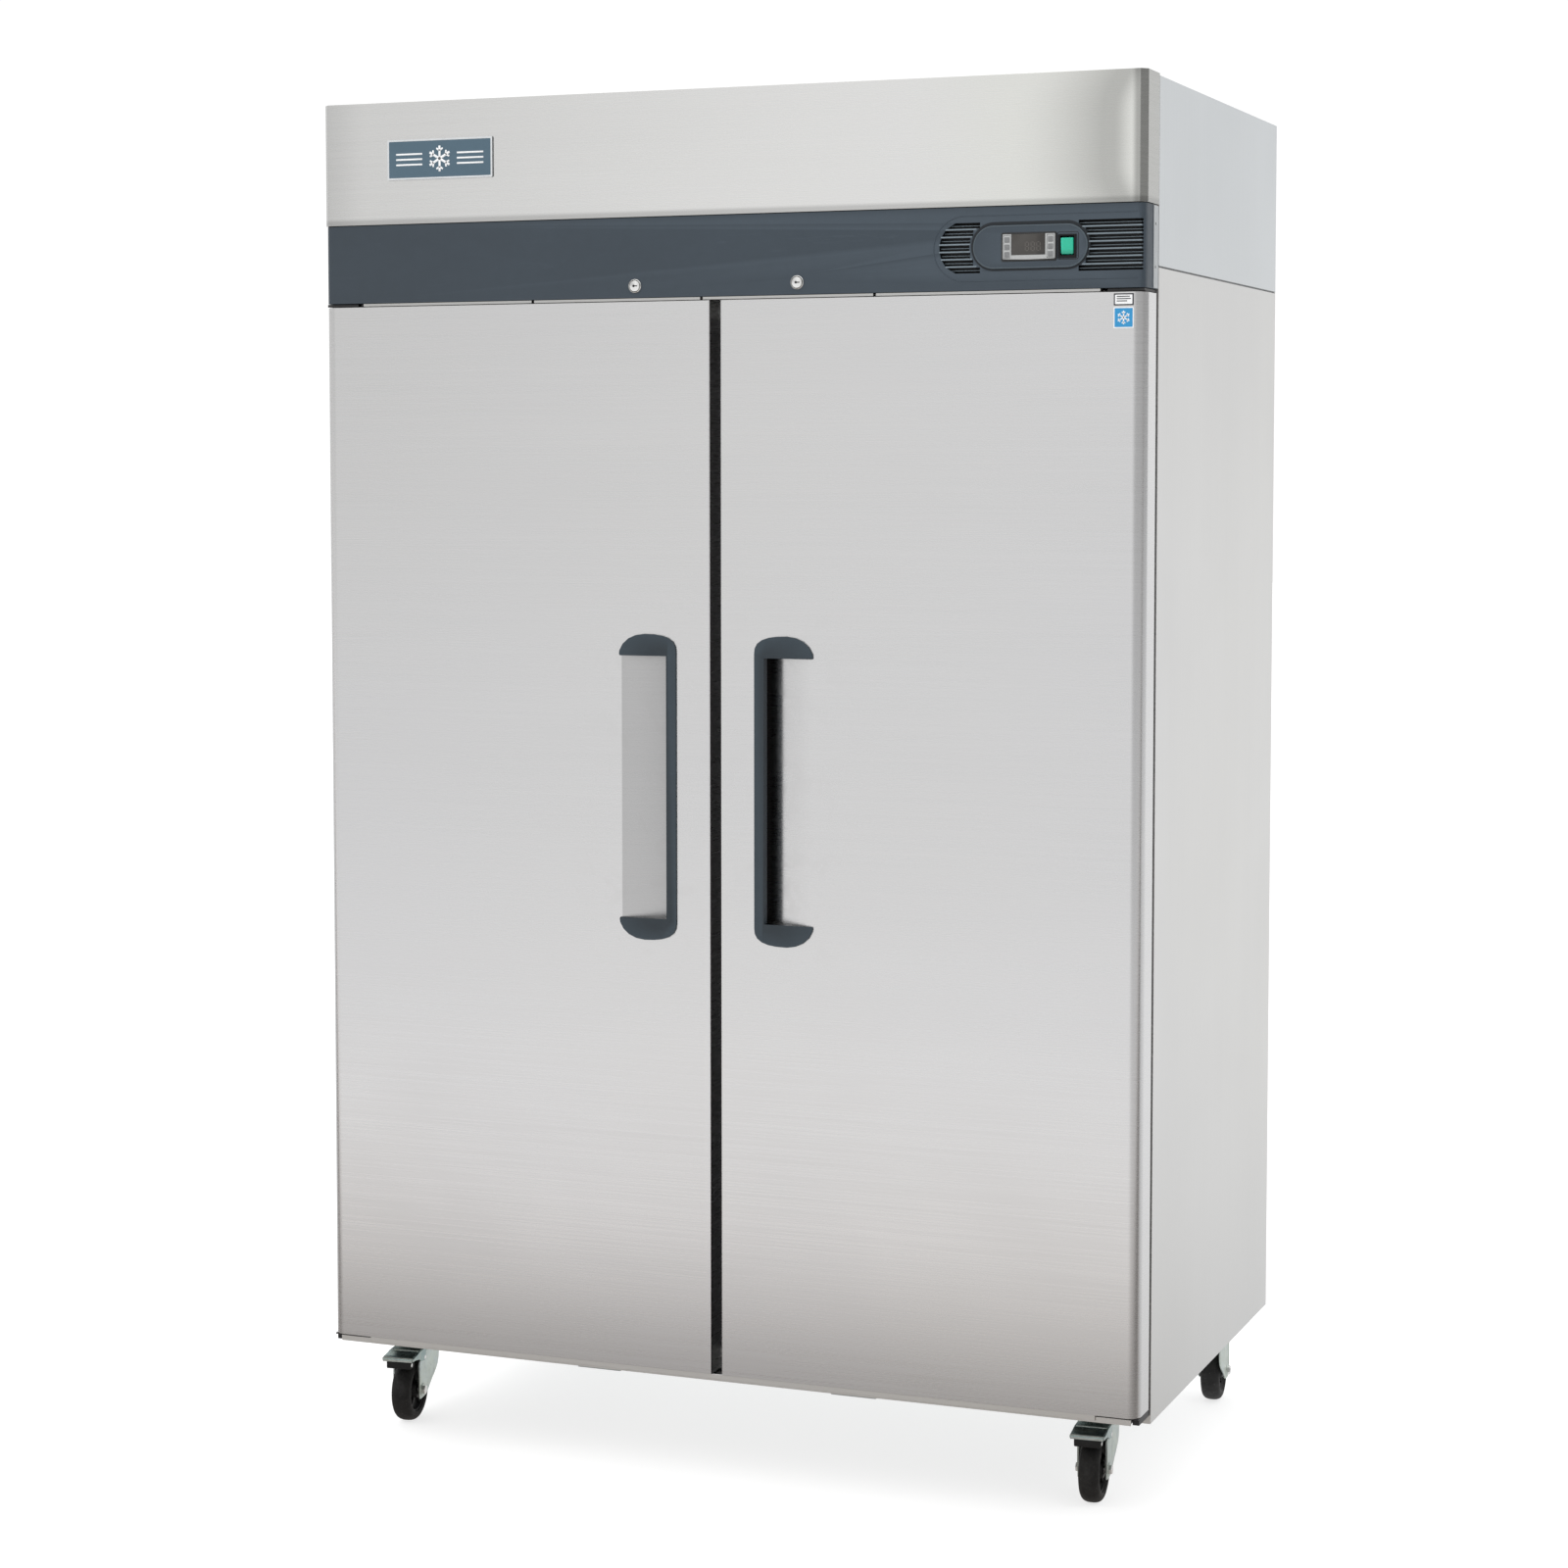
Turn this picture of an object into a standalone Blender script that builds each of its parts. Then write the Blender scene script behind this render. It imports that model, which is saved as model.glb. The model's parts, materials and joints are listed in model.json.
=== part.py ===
"""Two-section reach-in refrigerator with a top-mounted condensing unit, on casters.

Units are metres, +Z up. The doors face -Y, +X is the user's right when facing them, and the floor is z = 0.
"""

import math

import bmesh
import bpy
from mathutils import Matrix, Vector

# ---------------------------------------------------------------- dimensions
HALF_W = 0.657          # half of the cabinet's width
Y_FRONT = -0.402        # front plane of the doors
Y_BACK = 0.405          # back plane of the cabinet
FRAME_Y = -0.333        # front plane of the cabinet's face frame
SKIN = 0.0012           # sheet thickness of the outer shells
LINER = 0.0010          # sheet thickness of the liner
GAP = 0.0003            # clearance between neighbours
Z_CAB0, Z_CAB1 = 0.1530, 1.8312      # cabinet box, bottom and top
Z_HOOD0, Z_SIDE_TOP = 1.8318, 2.1020  # hood side panels
Z_TOP = 2.1050                        # top of the hood's front panel
CAV_X, CAV_Y, CAV_Z0, CAV_Z1 = 0.600, 0.345, 0.218, 1.772  # cavity in the foam

DOOR_X0 = 0.008         # half of the gap between the doors
DOOR_Z0, DOOR_Z1 = 0.1775, 1.7930
DOOR_T = 0.058          # thickness of a door
DOOR_R = 0.019          # radius of the door's outer vertical edge
PIN_X, PIN_Y = 0.640, Y_FRONT + 0.016  # door hinge axis
PIN_R, PIN_HOLE_R = 0.005, 0.0058

GRIP_X0, GRIP_X1 = 0.0665, 0.1545      # hand pocket, across
GRIP_Z0, GRIP_Z1 = 0.8660, 1.2650      # hand pocket, height
GRIP_DEPTH = 0.031

FASCIA_Y = -0.400
FASCIA_Z0, FASCIA_Z1 = 1.7990, 1.9180
FASCIA_T = 0.0025
GRILLE_ROWS, GRILLE_Z0, GRILLE_PITCH, SLOT_H = 7, 1.82785, 0.01065, 0.0081
POD_X0, POD_X1, POD_Z0, POD_Z1 = 0.4015, 0.5715, 1.8295, 1.8905

LOCK_X, LOCK_Z, LOCK_R = 0.130, 1.8165, 0.0085

SHELF_LEVELS = (0.470, 0.850, 1.230)   # top of each pair of ledges
SHELF_T = 0.008

WHEEL_R, WHEEL_W, AXLE_Z, TRAIL = 0.050, 0.032, 0.050, 0.035
# name, x, y of the swivel axis, heading in degrees (0 points the wheel at -Y), brake
CASTERS = (
    ("front_left", -0.612, -0.205, 7.0, True),
    ("front_right", 0.545, -0.210, 4.0, True),
    ("rear_left", -0.585, 0.318, 173.0, False),
    ("rear_right", 0.585, 0.318, 185.0, False),
)

# ---------------------------------------------------------------- scene
for old in list(bpy.data.objects):
    bpy.data.objects.remove(old, do_unlink=True)

PARTS = bpy.data.collections.new("reach_in_refrigerator")
bpy.context.scene.collection.children.link(PARTS)
CUTTERS = bpy.data.collections.new("cutters")
bpy.context.scene.collection.children.link(CUTTERS)
CUTTERS.hide_render = True


def material(name, colour, roughness, metallic=0.0):
    made = bpy.data.materials.new(name)
    made.use_nodes = True
    shader = made.node_tree.nodes["Principled BSDF"]
    shader.inputs["Base Color"].default_value = (*colour, 1.0)
    shader.inputs["Roughness"].default_value = roughness
    shader.inputs["Metallic"].default_value = metallic
    made.diffuse_color = (*colour, 1.0)
    return made


STEEL = material("stainless_brushed", (0.62, 0.61, 0.59), 0.32, 1.0)
STEEL_IN = material("stainless_liner", (0.66, 0.66, 0.66), 0.38, 1.0)
ZINC = material("zinc_plated", (0.55, 0.60, 0.60), 0.30, 1.0)
GALV = material("galvanised", (0.50, 0.52, 0.53), 0.45, 1.0)
FOAM = material("insulation_foam", (0.80, 0.70, 0.42), 0.90)
PLASTIC = material("slate_plastic", (0.075, 0.098, 0.125), 0.42)
BLACK = material("black_plastic", (0.012, 0.012, 0.013), 0.45)
GREY = material("grey_keys", (0.36, 0.37, 0.37), 0.45)
GREEN = material("green_rocker", (0.0, 0.40, 0.24), 0.30)
RUBBER = material("gasket_rubber", (0.030, 0.030, 0.032), 0.70)
TYRE = material("tyre_rubber", (0.016, 0.016, 0.017), 0.60)
WHITE = material("white_plastic", (0.75, 0.75, 0.75), 0.40)
ALU = material("aluminium_fins", (0.70, 0.71, 0.72), 0.35, 1.0)
PAINT = material("black_enamel", (0.014, 0.014, 0.015), 0.35)
CHROME = material("chromed_brass", (0.80, 0.80, 0.80), 0.15, 1.0)


# ---------------------------------------------------------------- helpers
def link(obj, tool):
    (CUTTERS if tool else PARTS).objects.link(obj)
    if tool:
        obj.hide_render = True
        obj.display_type = "WIRE"


def from_bm(name, bm, mat=None, origin=(0, 0, 0), smooth=False, tool=False):
    """An object from world-space bmesh data, with its origin at the given point."""
    bmesh.ops.recalc_face_normals(bm, faces=bm.faces[:])
    bmesh.ops.translate(bm, verts=bm.verts[:], vec=-Vector(origin))
    mesh = bpy.data.meshes.new(name)
    bm.to_mesh(mesh)
    bm.free()
    if mat:
        mesh.materials.append(mat)
    if smooth:
        mesh.polygons.foreach_set("use_smooth", [True] * len(mesh.polygons))
    obj = bpy.data.objects.new(name, mesh)
    obj.location = origin
    link(obj, tool)
    return obj


def box_bm(lo, hi):
    lo, hi = Vector(map(min, lo, hi)), Vector(map(max, lo, hi))
    bm = bmesh.new()
    bmesh.ops.create_cube(bm, size=1.0)
    bmesh.ops.scale(bm, vec=hi - lo, verts=bm.verts[:])
    bmesh.ops.translate(bm, vec=(lo + hi) / 2, verts=bm.verts[:])
    return bm


def bevel_edges(bm, chosen, radius, segments):
    edges = [e for e in bm.edges if chosen(e.verts[0].co, e.verts[1].co)]
    bmesh.ops.bevel(
        bm, geom=edges, offset=radius, segments=segments, profile=0.5, affect="EDGES"
    )


def box(name, lo, hi, mat=None, tool=False, round_=0.0, segments=2, origin=None):
    bm = box_bm(lo, hi)
    if round_:
        bevel_edges(bm, lambda a, b: True, round_, segments)
    centre = (Vector(lo) + Vector(hi)) / 2
    return from_bm(name, bm, mat, origin or centre, tool=tool)


def cylinder_bm(p0, p1, radius, segments=16, radius2=None):
    p0, p1 = Vector(p0), Vector(p1)
    bm = bmesh.new()
    bmesh.ops.create_cone(
        bm,
        cap_ends=True,
        segments=segments,
        radius1=radius,
        radius2=radius if radius2 is None else radius2,
        depth=(p1 - p0).length,
    )
    turn = (p1 - p0).to_track_quat("Z", "Y").to_matrix().to_4x4()
    bmesh.ops.transform(
        bm, matrix=Matrix.Translation((p0 + p1) / 2) @ turn, verts=bm.verts[:]
    )
    return bm


def cylinder(name, p0, p1, radius, mat=None, segments=16, radius2=None, tool=False, origin=None):
    bm = cylinder_bm(p0, p1, radius, segments, radius2)
    return from_bm(name, bm, mat, origin or (Vector(p0) + Vector(p1)) / 2, tool=tool, smooth=False)


PLANES = {
    "XY": Matrix.Identity(4),
    "XZ": Matrix(((1, 0, 0, 0), (0, 0, -1, 0), (0, 1, 0, 0), (0, 0, 0, 1))),
    "YZ": Matrix(((0, 0, 1, 0), (1, 0, 0, 0), (0, 1, 0, 0), (0, 0, 0, 1))),
}
AXIS = {"XY": (2, 1), "XZ": (1, -1), "YZ": (0, 1)}


def outline(name, loops, plane, lo, hi, mat=None, tool=False, origin=None):
    """A flat outline, with holes where loops nest, extruded along the plane's normal from lo to hi."""
    data = bpy.data.curves.new(name, "CURVE")
    data.dimensions = "2D"
    data.fill_mode = "BOTH"
    data.extrude = abs(hi - lo) / 2
    for loop in loops:
        spline = data.splines.new("POLY")
        spline.points.add(len(loop) - 1)
        for point, (a, b) in zip(spline.points, loop):
            point.co = (a, b, 0, 1)
        spline.use_cyclic_u = True
    flat = bpy.data.objects.new(name + "_curve", data)
    CUTTERS.objects.link(flat)
    axis, _ = AXIS[plane]
    shift = Vector((0, 0, 0))
    shift[axis] = (lo + hi) / 2
    flat.matrix_world = Matrix.Translation(shift) @ PLANES[plane]
    bpy.context.view_layer.update()
    graph = bpy.context.evaluated_depsgraph_get()
    mesh = bpy.data.meshes.new_from_object(flat.evaluated_get(graph))
    bm = bmesh.new()
    bm.from_mesh(mesh)
    bm.transform(flat.matrix_world)
    bmesh.ops.remove_doubles(bm, verts=bm.verts[:], dist=0.00002)
    bpy.data.objects.remove(flat, do_unlink=True)
    bpy.data.meshes.remove(mesh)
    return from_bm(name, bm, mat, origin or (0, 0, 0), tool=tool)


def boolean(obj, tool, operation):
    modifier = obj.modifiers.new(operation.lower(), "BOOLEAN")
    modifier.operation = operation
    modifier.object = tool
    modifier.solver = "EXACT"
    return obj


def cut(obj, *tools):
    for tool in tools:
        boolean(obj, tool, "DIFFERENCE")
    return obj


def fuse(obj, *tools):
    for tool in tools:
        boolean(obj, tool, "UNION")
    return obj


def tbox(lo, hi):
    return box(f"tool_{len(CUTTERS.objects):03d}", lo, hi, tool=True)


def tcyl(p0, p1, radius, segments=16, radius2=None):
    return cylinder(f"tool_{len(CUTTERS.objects):03d}", p0, p1, radius, segments=segments, radius2=radius2, tool=True)


def open_box(name, lo, hi, opened, thickness, mat, bevels=(), origin=None):
    """A sheet box of the given outside size with the faces named in opened left out, by Solidify inwards."""
    bm = box_bm(lo, hi)
    for chosen, radius, segments in bevels:
        bevel_edges(bm, chosen, radius, segments)
    bm.normal_update()
    gone = [
        f
        for f in bm.faces
        if any(f.normal.dot(Vector(n)) > 0.999 for n in opened)
    ]
    bmesh.ops.delete(bm, geom=gone, context="FACES")
    mesh = bpy.data.meshes.new(name)
    centre = (Vector(lo) + Vector(hi)) / 2 if origin is None else Vector(origin)
    bmesh.ops.translate(bm, verts=bm.verts[:], vec=-centre)
    bm.to_mesh(mesh)
    bm.free()
    mesh.materials.append(mat)
    obj = bpy.data.objects.new(name, mesh)
    obj.location = centre
    link(obj, False)
    solid = obj.modifiers.new("sheet", "SOLIDIFY")
    solid.thickness = thickness
    solid.offset = -1.0
    solid.use_even_offset = True
    return obj


def pivot(name, location):
    empty = bpy.data.objects.new(name, None)
    empty.empty_display_size = 0.03
    empty.location = location
    PARTS.objects.link(empty)
    return empty


def carry(empty, *objects):
    """Parents the objects to the empty and leaves them where they are."""
    bpy.context.view_layer.update()
    for obj in objects:
        obj.parent = empty
        obj.matrix_parent_inverse = empty.matrix_world.inverted()


def rounded(x0, z0, x1, z1, r, n=4):
    """A rectangle's outline with round corners, anticlockwise."""
    points = []
    for cx, cz, start in ((x1 - r, z0 + r, -90), (x1 - r, z1 - r, 0), (x0 + r, z1 - r, 90), (x0 + r, z0 + r, 180)):
        for i in range(n + 1):
            a = math.radians(start + 90 * i / n)
            points.append((cx + r * math.cos(a), cz + r * math.sin(a)))
    return points


# ---------------------------------------------------------------- cabinet box
outer_shell = open_box(
    "outer_shell",
    (-HALF_W, FRAME_Y + 0.0018, Z_CAB0),
    (HALF_W, Y_BACK, Z_CAB1),
    [(0, -1, 0)],
    SKIN,
    STEEL,
)

foam_insulation = box(
    "foam_insulation",
    (-HALF_W + SKIN + GAP, FRAME_Y + 0.0018, Z_CAB0 + SKIN + GAP),
    (HALF_W - SKIN - GAP, Y_BACK - SKIN - GAP, Z_CAB1 - SKIN - GAP),
    FOAM,
)
cut(foam_insulation, tbox((-CAV_X, -0.5, CAV_Z0), (CAV_X, CAV_Y, CAV_Z1)))

inner_liner = open_box(
    "inner_liner",
    (-CAV_X + GAP, FRAME_Y + 0.0018, CAV_Z0 + GAP),
    (CAV_X - GAP, CAV_Y - GAP, CAV_Z1 - GAP),
    [(0, -1, 0)],
    LINER,
    STEEL_IN,
)

# front collar with its two openings, the centre mullion behind it and the thin strip under the doors
face_frame = box("face_frame", (-HALF_W, FRAME_Y, Z_CAB0), (HALF_W, FRAME_Y + 0.0015, Z_CAB1), STEEL)
for s in (-1, 1):
    x0, x1 = sorted((s * 0.032, s * 0.592))
    cut(face_frame, outline(f"tool_opening_{s}", [rounded(x0, 0.226, x1, 1.764, 0.012, 3)], "XZ", -0.36, -0.30, tool=True))
fuse(
    face_frame,
    tbox((-0.030, FRAME_Y + 0.0008, 0.2206), (0.030, FRAME_Y + 0.047, 1.7693)),
    tbox((-0.645, Y_FRONT + 0.006, 0.1690), (0.645, FRAME_Y + 0.0008, 0.1745)),
    tbox((-0.6447, Y_FRONT + 0.0058, 0.1660), (0.6447, Y_FRONT + 0.0078, 0.1742)),
)

# ---------------------------------------------------------------- shelf racks
LINER_X = CAV_X - GAP - LINER
LINER_Y = CAV_Y - GAP - LINER


def side_rack(name, s):
    """Two uprights on a side wall, joined by a ledge at each shelf level."""
    wall = s * (LINER_X - GAP)
    rack = box(name, (wall, -0.268, 0.300), (wall - s * 0.010, -0.246, 1.500), STEEL_IN)
    fuse(rack, tbox((wall, 0.258, 0.301), (wall - s * 0.0101, 0.280, 1.499)))
    for z in SHELF_LEVELS:
        fuse(rack, tbox((wall - s * 0.0005, -0.2675, z - 0.016), (wall - s * 0.0125, 0.2795, z - 0.0015)))
        fuse(rack, tbox((wall - s * 0.0108, -0.2670, z - 0.003), (wall - s * 0.030, 0.2790, z)))
    return rack


shelf_rack_left = side_rack("shelf_rack_left", -1)
shelf_rack_right = side_rack("shelf_rack_right", 1)
shelf_rack_center = box("shelf_rack_center", (-0.011, FRAME_Y + 0.0475, 0.300), (0.011, FRAME_Y + 0.062, 1.500), STEEL_IN)
fuse(shelf_rack_center, tbox((-0.0111, LINER_Y - GAP - 0.012, 0.301), (0.0111, LINER_Y - GAP, 1.499)))
for z in SHELF_LEVELS:
    fuse(shelf_rack_center, tbox((-0.0105, FRAME_Y + 0.048, z - 0.016), (0.0105, LINER_Y - GAP - 0.0005, z - 0.0015)))
    fuse(shelf_rack_center, tbox((-0.030, FRAME_Y + 0.0656, z - 0.003), (0.030, 0.318, z)))

# ---------------------------------------------------------------- shelves
SHELF_X0, SHELF_X1 = 0.0065, LINER_X - GAP - 0.0132
SHELF_Y0, SHELF_Y1 = -0.250, 0.312


def shelf(name, s, z):
    """A grid shelf cut from one flat outline, resting on the ledges."""
    x0, x1 = sorted((s * SHELF_X0, s * SHELF_X1))
    count = 9
    bar = 0.006
    step = (x1 - x0 - bar) / count
    middle = (SHELF_Y0 + SHELF_Y1) / 2
    loops = [rounded(x0, SHELF_Y0, x1, SHELF_Y1, 0.008, 3)]
    for i in range(count):
        a, b = x0 + bar + i * step, x0 + (i + 1) * step
        for lo, hi in ((SHELF_Y0 + bar, middle - bar / 2), (middle + bar / 2, SHELF_Y1 - bar)):
            loops.append([(a, lo), (b, lo), (b, hi), (a, hi)])
    centre = ((x0 + x1) / 2, middle, z + GAP)
    return outline(name, loops, "XY", z + GAP, z + GAP + SHELF_T, CHROME, origin=centre)


for side, s in (("left", -1), ("right", 1)):
    for level, z in zip(("lower", "middle", "upper"), SHELF_LEVELS):
        shelf(f"shelf_{side}_{level}", s, z)

# ---------------------------------------------------------------- hood
hood_front_panel = open_box(
    "hood_front_panel",
    (-HALF_W, Y_FRONT, 1.9188),
    (HALF_W, FRAME_Y + 0.0003, Z_TOP),
    [(0, 1, 0)],
    0.0015,
    STEEL,
    [(lambda a, b: abs(a.z - b.z) > 0.01 and a.y < -0.39, 0.009, 1)],
)

hood_shell = open_box(
    "hood_shell",
    (-HALF_W, FRAME_Y + 0.0008, Z_HOOD0),
    (HALF_W, Y_BACK, Z_SIDE_TOP),
    [(0, -1, 0), (0, 0, 1), (0, 0, -1)],
    SKIN,
    STEEL,
)
for bank in (-0.36, 0.36):
    for row in range(6):
        z = 1.885 + row * 0.032
        cut(hood_shell, tbox((bank - 0.18, Y_BACK - 0.01, z), (bank + 0.18, Y_BACK + 0.01, z + 0.009)))

control_fascia = open_box(
    "control_fascia",
    (-0.6555, FASCIA_Y, FASCIA_Z0),
    (0.6555, FRAME_Y - 0.0006, FASCIA_Z1),
    [(0, 1, 0)],
    FASCIA_T,
    PLASTIC,
    [(lambda a, b: abs(a.z - b.z) > 0.01 and a.y < -0.39, 0.012, 3)],
)
# the raised pod round the controller, a flat stadium
fuse(
    control_fascia,
    outline(
        "tool_pod",
        [rounded(POD_X0, POD_Z0, POD_X1, POD_Z1, 0.0303, 8)],
        "XZ",
        Y_FRONT,
        FASCIA_Y + 0.0012,
        tool=True,
    ),
)


def bulge(z):
    """How far the round end of the grille's outline reaches out at a height."""
    middle = (GRILLE_Z0 + (GRILLE_ROWS - 1) * GRILLE_PITCH / 2 - z) / 0.0375
    return 0.034 * math.sqrt(max(0.0, 1 - middle * middle))


for row in range(GRILLE_ROWS):
    z = GRILLE_Z0 + row * GRILLE_PITCH
    low, high = z - SLOT_H / 2, z + SLOT_H / 2
    left = [(0.3835 - bulge(low), low), (0.4290 - bulge(z), low), (0.4290 - bulge(z), high), (0.3835 - bulge(high), high)]
    cut(control_fascia, outline(f"tool_slot_left_{row}", [left], "XZ", FASCIA_Y - 0.01, FASCIA_Y + 0.012, tool=True))
    cut(control_fascia, tbox((0.5400 + bulge(z), FASCIA_Y - 0.01, low), (0.6515, FASCIA_Y + 0.014, high)))
# openings for the controller, the switch and the two locks
cut(
    control_fascia,
    tbox((0.4495, -0.42, 1.8433), (0.5208, -0.38, 1.8757)),
    tbox((0.5309, -0.42, 1.8436), (0.5530, -0.38, 1.8750)),
)
for s in (-1, 1):
    cut(control_fascia, tcyl((s * LOCK_X, -0.42, LOCK_Z), (s * LOCK_X, -0.38, LOCK_Z), LOCK_R + 0.0006, 24))

controller_bezel = box("controller_bezel", (0.4462, -0.4036, 1.8415), (0.5241, -0.4023, 1.8778), GREY)
fuse(controller_bezel, tbox((0.4499, -0.4030, 1.8437), (0.5204, -0.3560, 1.8753)))
# two recesses for the key strips
KEY_LEFT, KEY_RIGHT = (0.4472, 0.4582), (0.5117, 0.5230)
for x0, x1 in (KEY_LEFT, KEY_RIGHT):
    cut(controller_bezel, tbox((x0, -0.41, 1.8432), (x1, -0.4015, 1.8766)))
# the back of each recess reaches into the body, so the bezel keeps a floor there
fuse(controller_bezel, tbox((0.4466, -0.40245, 1.8421), (0.5237, -0.4022, 1.8773)))


def key_strip(name, x0, x1):
    """Three keys on one rubber web, which travel together."""
    y0, y1 = -0.4044, -0.4031
    strip = box(name, (x0 + 0.0006, -0.4036, 1.8440), (x1 - 0.0006, y1, 1.8758), GREY)
    for i in range(3):
        z = 1.8444 + i * 0.0105
        fuse(strip, tbox((x0 + 0.0012, y0, z), (x1 - 0.0012, y1 - 0.0004, z + 0.0092)))
    return strip


key_strip("controller_keys_left", *KEY_LEFT)
key_strip("controller_keys_right", *KEY_RIGHT)

switch_housing = box("switch_housing", (0.5285, -0.4036, 1.8420), (0.5554, -0.4023, 1.8760), BLACK)
fuse(switch_housing, tbox((0.5313, -0.4030, 1.8440), (0.5526, -0.3740, 1.8746)))
cut(switch_housing, tbox((0.5320, -0.42, 1.8462), (0.5518, -0.3850, 1.8734)))

ROCKER = (0.5408, -0.3955, 1.8593)
rocker = outline(
    "rocker_switch",
    [
        [
            (-0.4026, 1.8475),
            (-0.4046, 1.8710),
            (-0.3995, 1.8712),
            (-0.3905, 1.8650),
            (-0.3885, 1.8593),
            (-0.3905, 1.8536),
            (-0.3985, 1.8472),
        ]
    ],
    "YZ",
    0.5326,
    0.5512,
    GREEN,
    origin=ROCKER,
)
rocker_axis = pivot("rocker_axis", ROCKER)
carry(rocker_axis, rocker)

for side, s in (("left", -1), ("right", 1)):
    plug = cylinder(
        f"lock_plug_{side}",
        (s * LOCK_X, -0.4040, LOCK_Z),
        (s * LOCK_X, -0.3720, LOCK_Z),
        LOCK_R,
        CHROME,
        24,
        origin=(s * LOCK_X, -0.39, LOCK_Z),
    )
    fuse(plug, tbox((s * LOCK_X - 0.004, -0.3745, LOCK_Z - 0.004), (s * LOCK_X + 0.0135, -0.3715, LOCK_Z + 0.004)))
    cut(plug, tbox((s * LOCK_X - 0.0045, -0.41, LOCK_Z - 0.0006), (s * LOCK_X + 0.0045, -0.4000, LOCK_Z + 0.0006)))

badge_plate = box("badge_plate", (-0.543, -0.4045, 1.986), (-0.364, Y_FRONT - GAP, 2.047), PLASTIC)

# ---------------------------------------------------------------- condensing unit, on the cabinet's top
TOP = Z_CAB1 + 0.0010
compressor = cylinder("compressor", (0.34, 0.20, TOP + 0.018), (0.34, 0.20, TOP + 0.150), 0.078, PAINT, 24)
fuse(
    compressor,
    tcyl((0.34, 0.20, TOP + 0.149), (0.34, 0.20, TOP + 0.180), 0.078, 24, 0.045),
    tbox((0.24, 0.10, TOP), (0.44, 0.30, TOP + 0.004)),
    tbox((0.25, 0.19, TOP + 0.003), (0.43, 0.21, TOP + 0.040)),
    tbox((0.33, 0.11, TOP + 0.003), (0.35, 0.29, TOP + 0.040)),
    tcyl((0.34, 0.20, TOP + 0.003), (0.34, 0.20, TOP + 0.020), 0.070, 24),
    tbox((0.235, 0.165, TOP + 0.07), (0.285, 0.235, TOP + 0.135)),
)

condenser_coil = box("condenser_coil", (0.220, -0.285, TOP), (0.580, -0.225, TOP + 0.235), ALU)
fuse(
    condenser_coil,
    tbox((0.212, -0.292, TOP + 0.0002), (0.222, -0.218, TOP + 0.238)),
    tbox((0.578, -0.292, TOP + 0.0002), (0.588, -0.218, TOP + 0.238)),
    tbox((0.204, -0.275, TOP + 0.030), (0.214, -0.235, TOP + 0.210)),
)

FAN_C = (0.400, -0.150, TOP + 0.120)
condenser_fan_shroud = outline(
    "condenser_fan_shroud",
    [
        [(0.225, TOP), (0.575, TOP), (0.575, TOP + 0.236), (0.225, TOP + 0.236)],
        [
            (FAN_C[0] + 0.104 * math.cos(2 * math.pi * i / 32), FAN_C[2] + 0.104 * math.sin(2 * math.pi * i / 32))
            for i in range(32)
        ],
    ],
    "XZ",
    -0.190,
    -0.188,
    PAINT,
)
fuse(
    condenser_fan_shroud,
    tbox((0.2255, -0.215, TOP + 0.0003), (0.2275, -0.1885, TOP + 0.2357)),
    tbox((0.5725, -0.215, TOP + 0.0003), (0.5745, -0.1885, TOP + 0.2357)),
    # motor behind the fan and the bar that holds it
    tcyl((FAN_C[0], -0.128, FAN_C[2]), (FAN_C[0], -0.080, FAN_C[2]), 0.034, 20),
    tbox((FAN_C[0] - 0.150, -0.110, FAN_C[2] - 0.008), (FAN_C[0] + 0.150, -0.107, FAN_C[2] + 0.008)),
    tbox((FAN_C[0] - 0.151, -0.1889, FAN_C[2] - 0.0078), (FAN_C[0] - 0.148, -0.1072, FAN_C[2] + 0.0078)),
    tbox((FAN_C[0] + 0.148, -0.1889, FAN_C[2] - 0.0078), (FAN_C[0] + 0.151, -0.1072, FAN_C[2] + 0.0078)),
)


def fan(name, centre, radius, blades, depth, mat):
    """Hub and pitched blades on an axis along Y."""
    c = Vector(centre)
    obj = cylinder(name, c - Vector((0, depth / 2, 0)), c + Vector((0, depth / 2, 0)), radius * 0.26, mat, 16, origin=centre)
    for i in range(blades):
        bm = box_bm((radius * 0.20, -0.0008, -radius * 0.26), (radius, 0.0008, radius * 0.26))
        turn = Matrix.Rotation(2 * math.pi * i / blades, 4, "Y") @ Matrix.Rotation(math.radians(24), 4, "X")
        bmesh.ops.transform(bm, matrix=Matrix.Translation(c) @ turn, verts=bm.verts[:])
        fuse(obj, from_bm(f"tool_{len(CUTTERS.objects):03d}", bm, tool=True))
    return obj


condenser_fan = fan("condenser_fan", FAN_C, 0.095, 5, 0.030, ALU)
electrical_box = box("electrical_box", (-0.48, -0.10, TOP), (-0.26, 0.10, TOP + 0.11), GALV, round_=0.002)
fuse(electrical_box, tbox((-0.50, -0.12, TOP + 0.0005), (-0.24, 0.12, TOP + 0.0025)))

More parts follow.
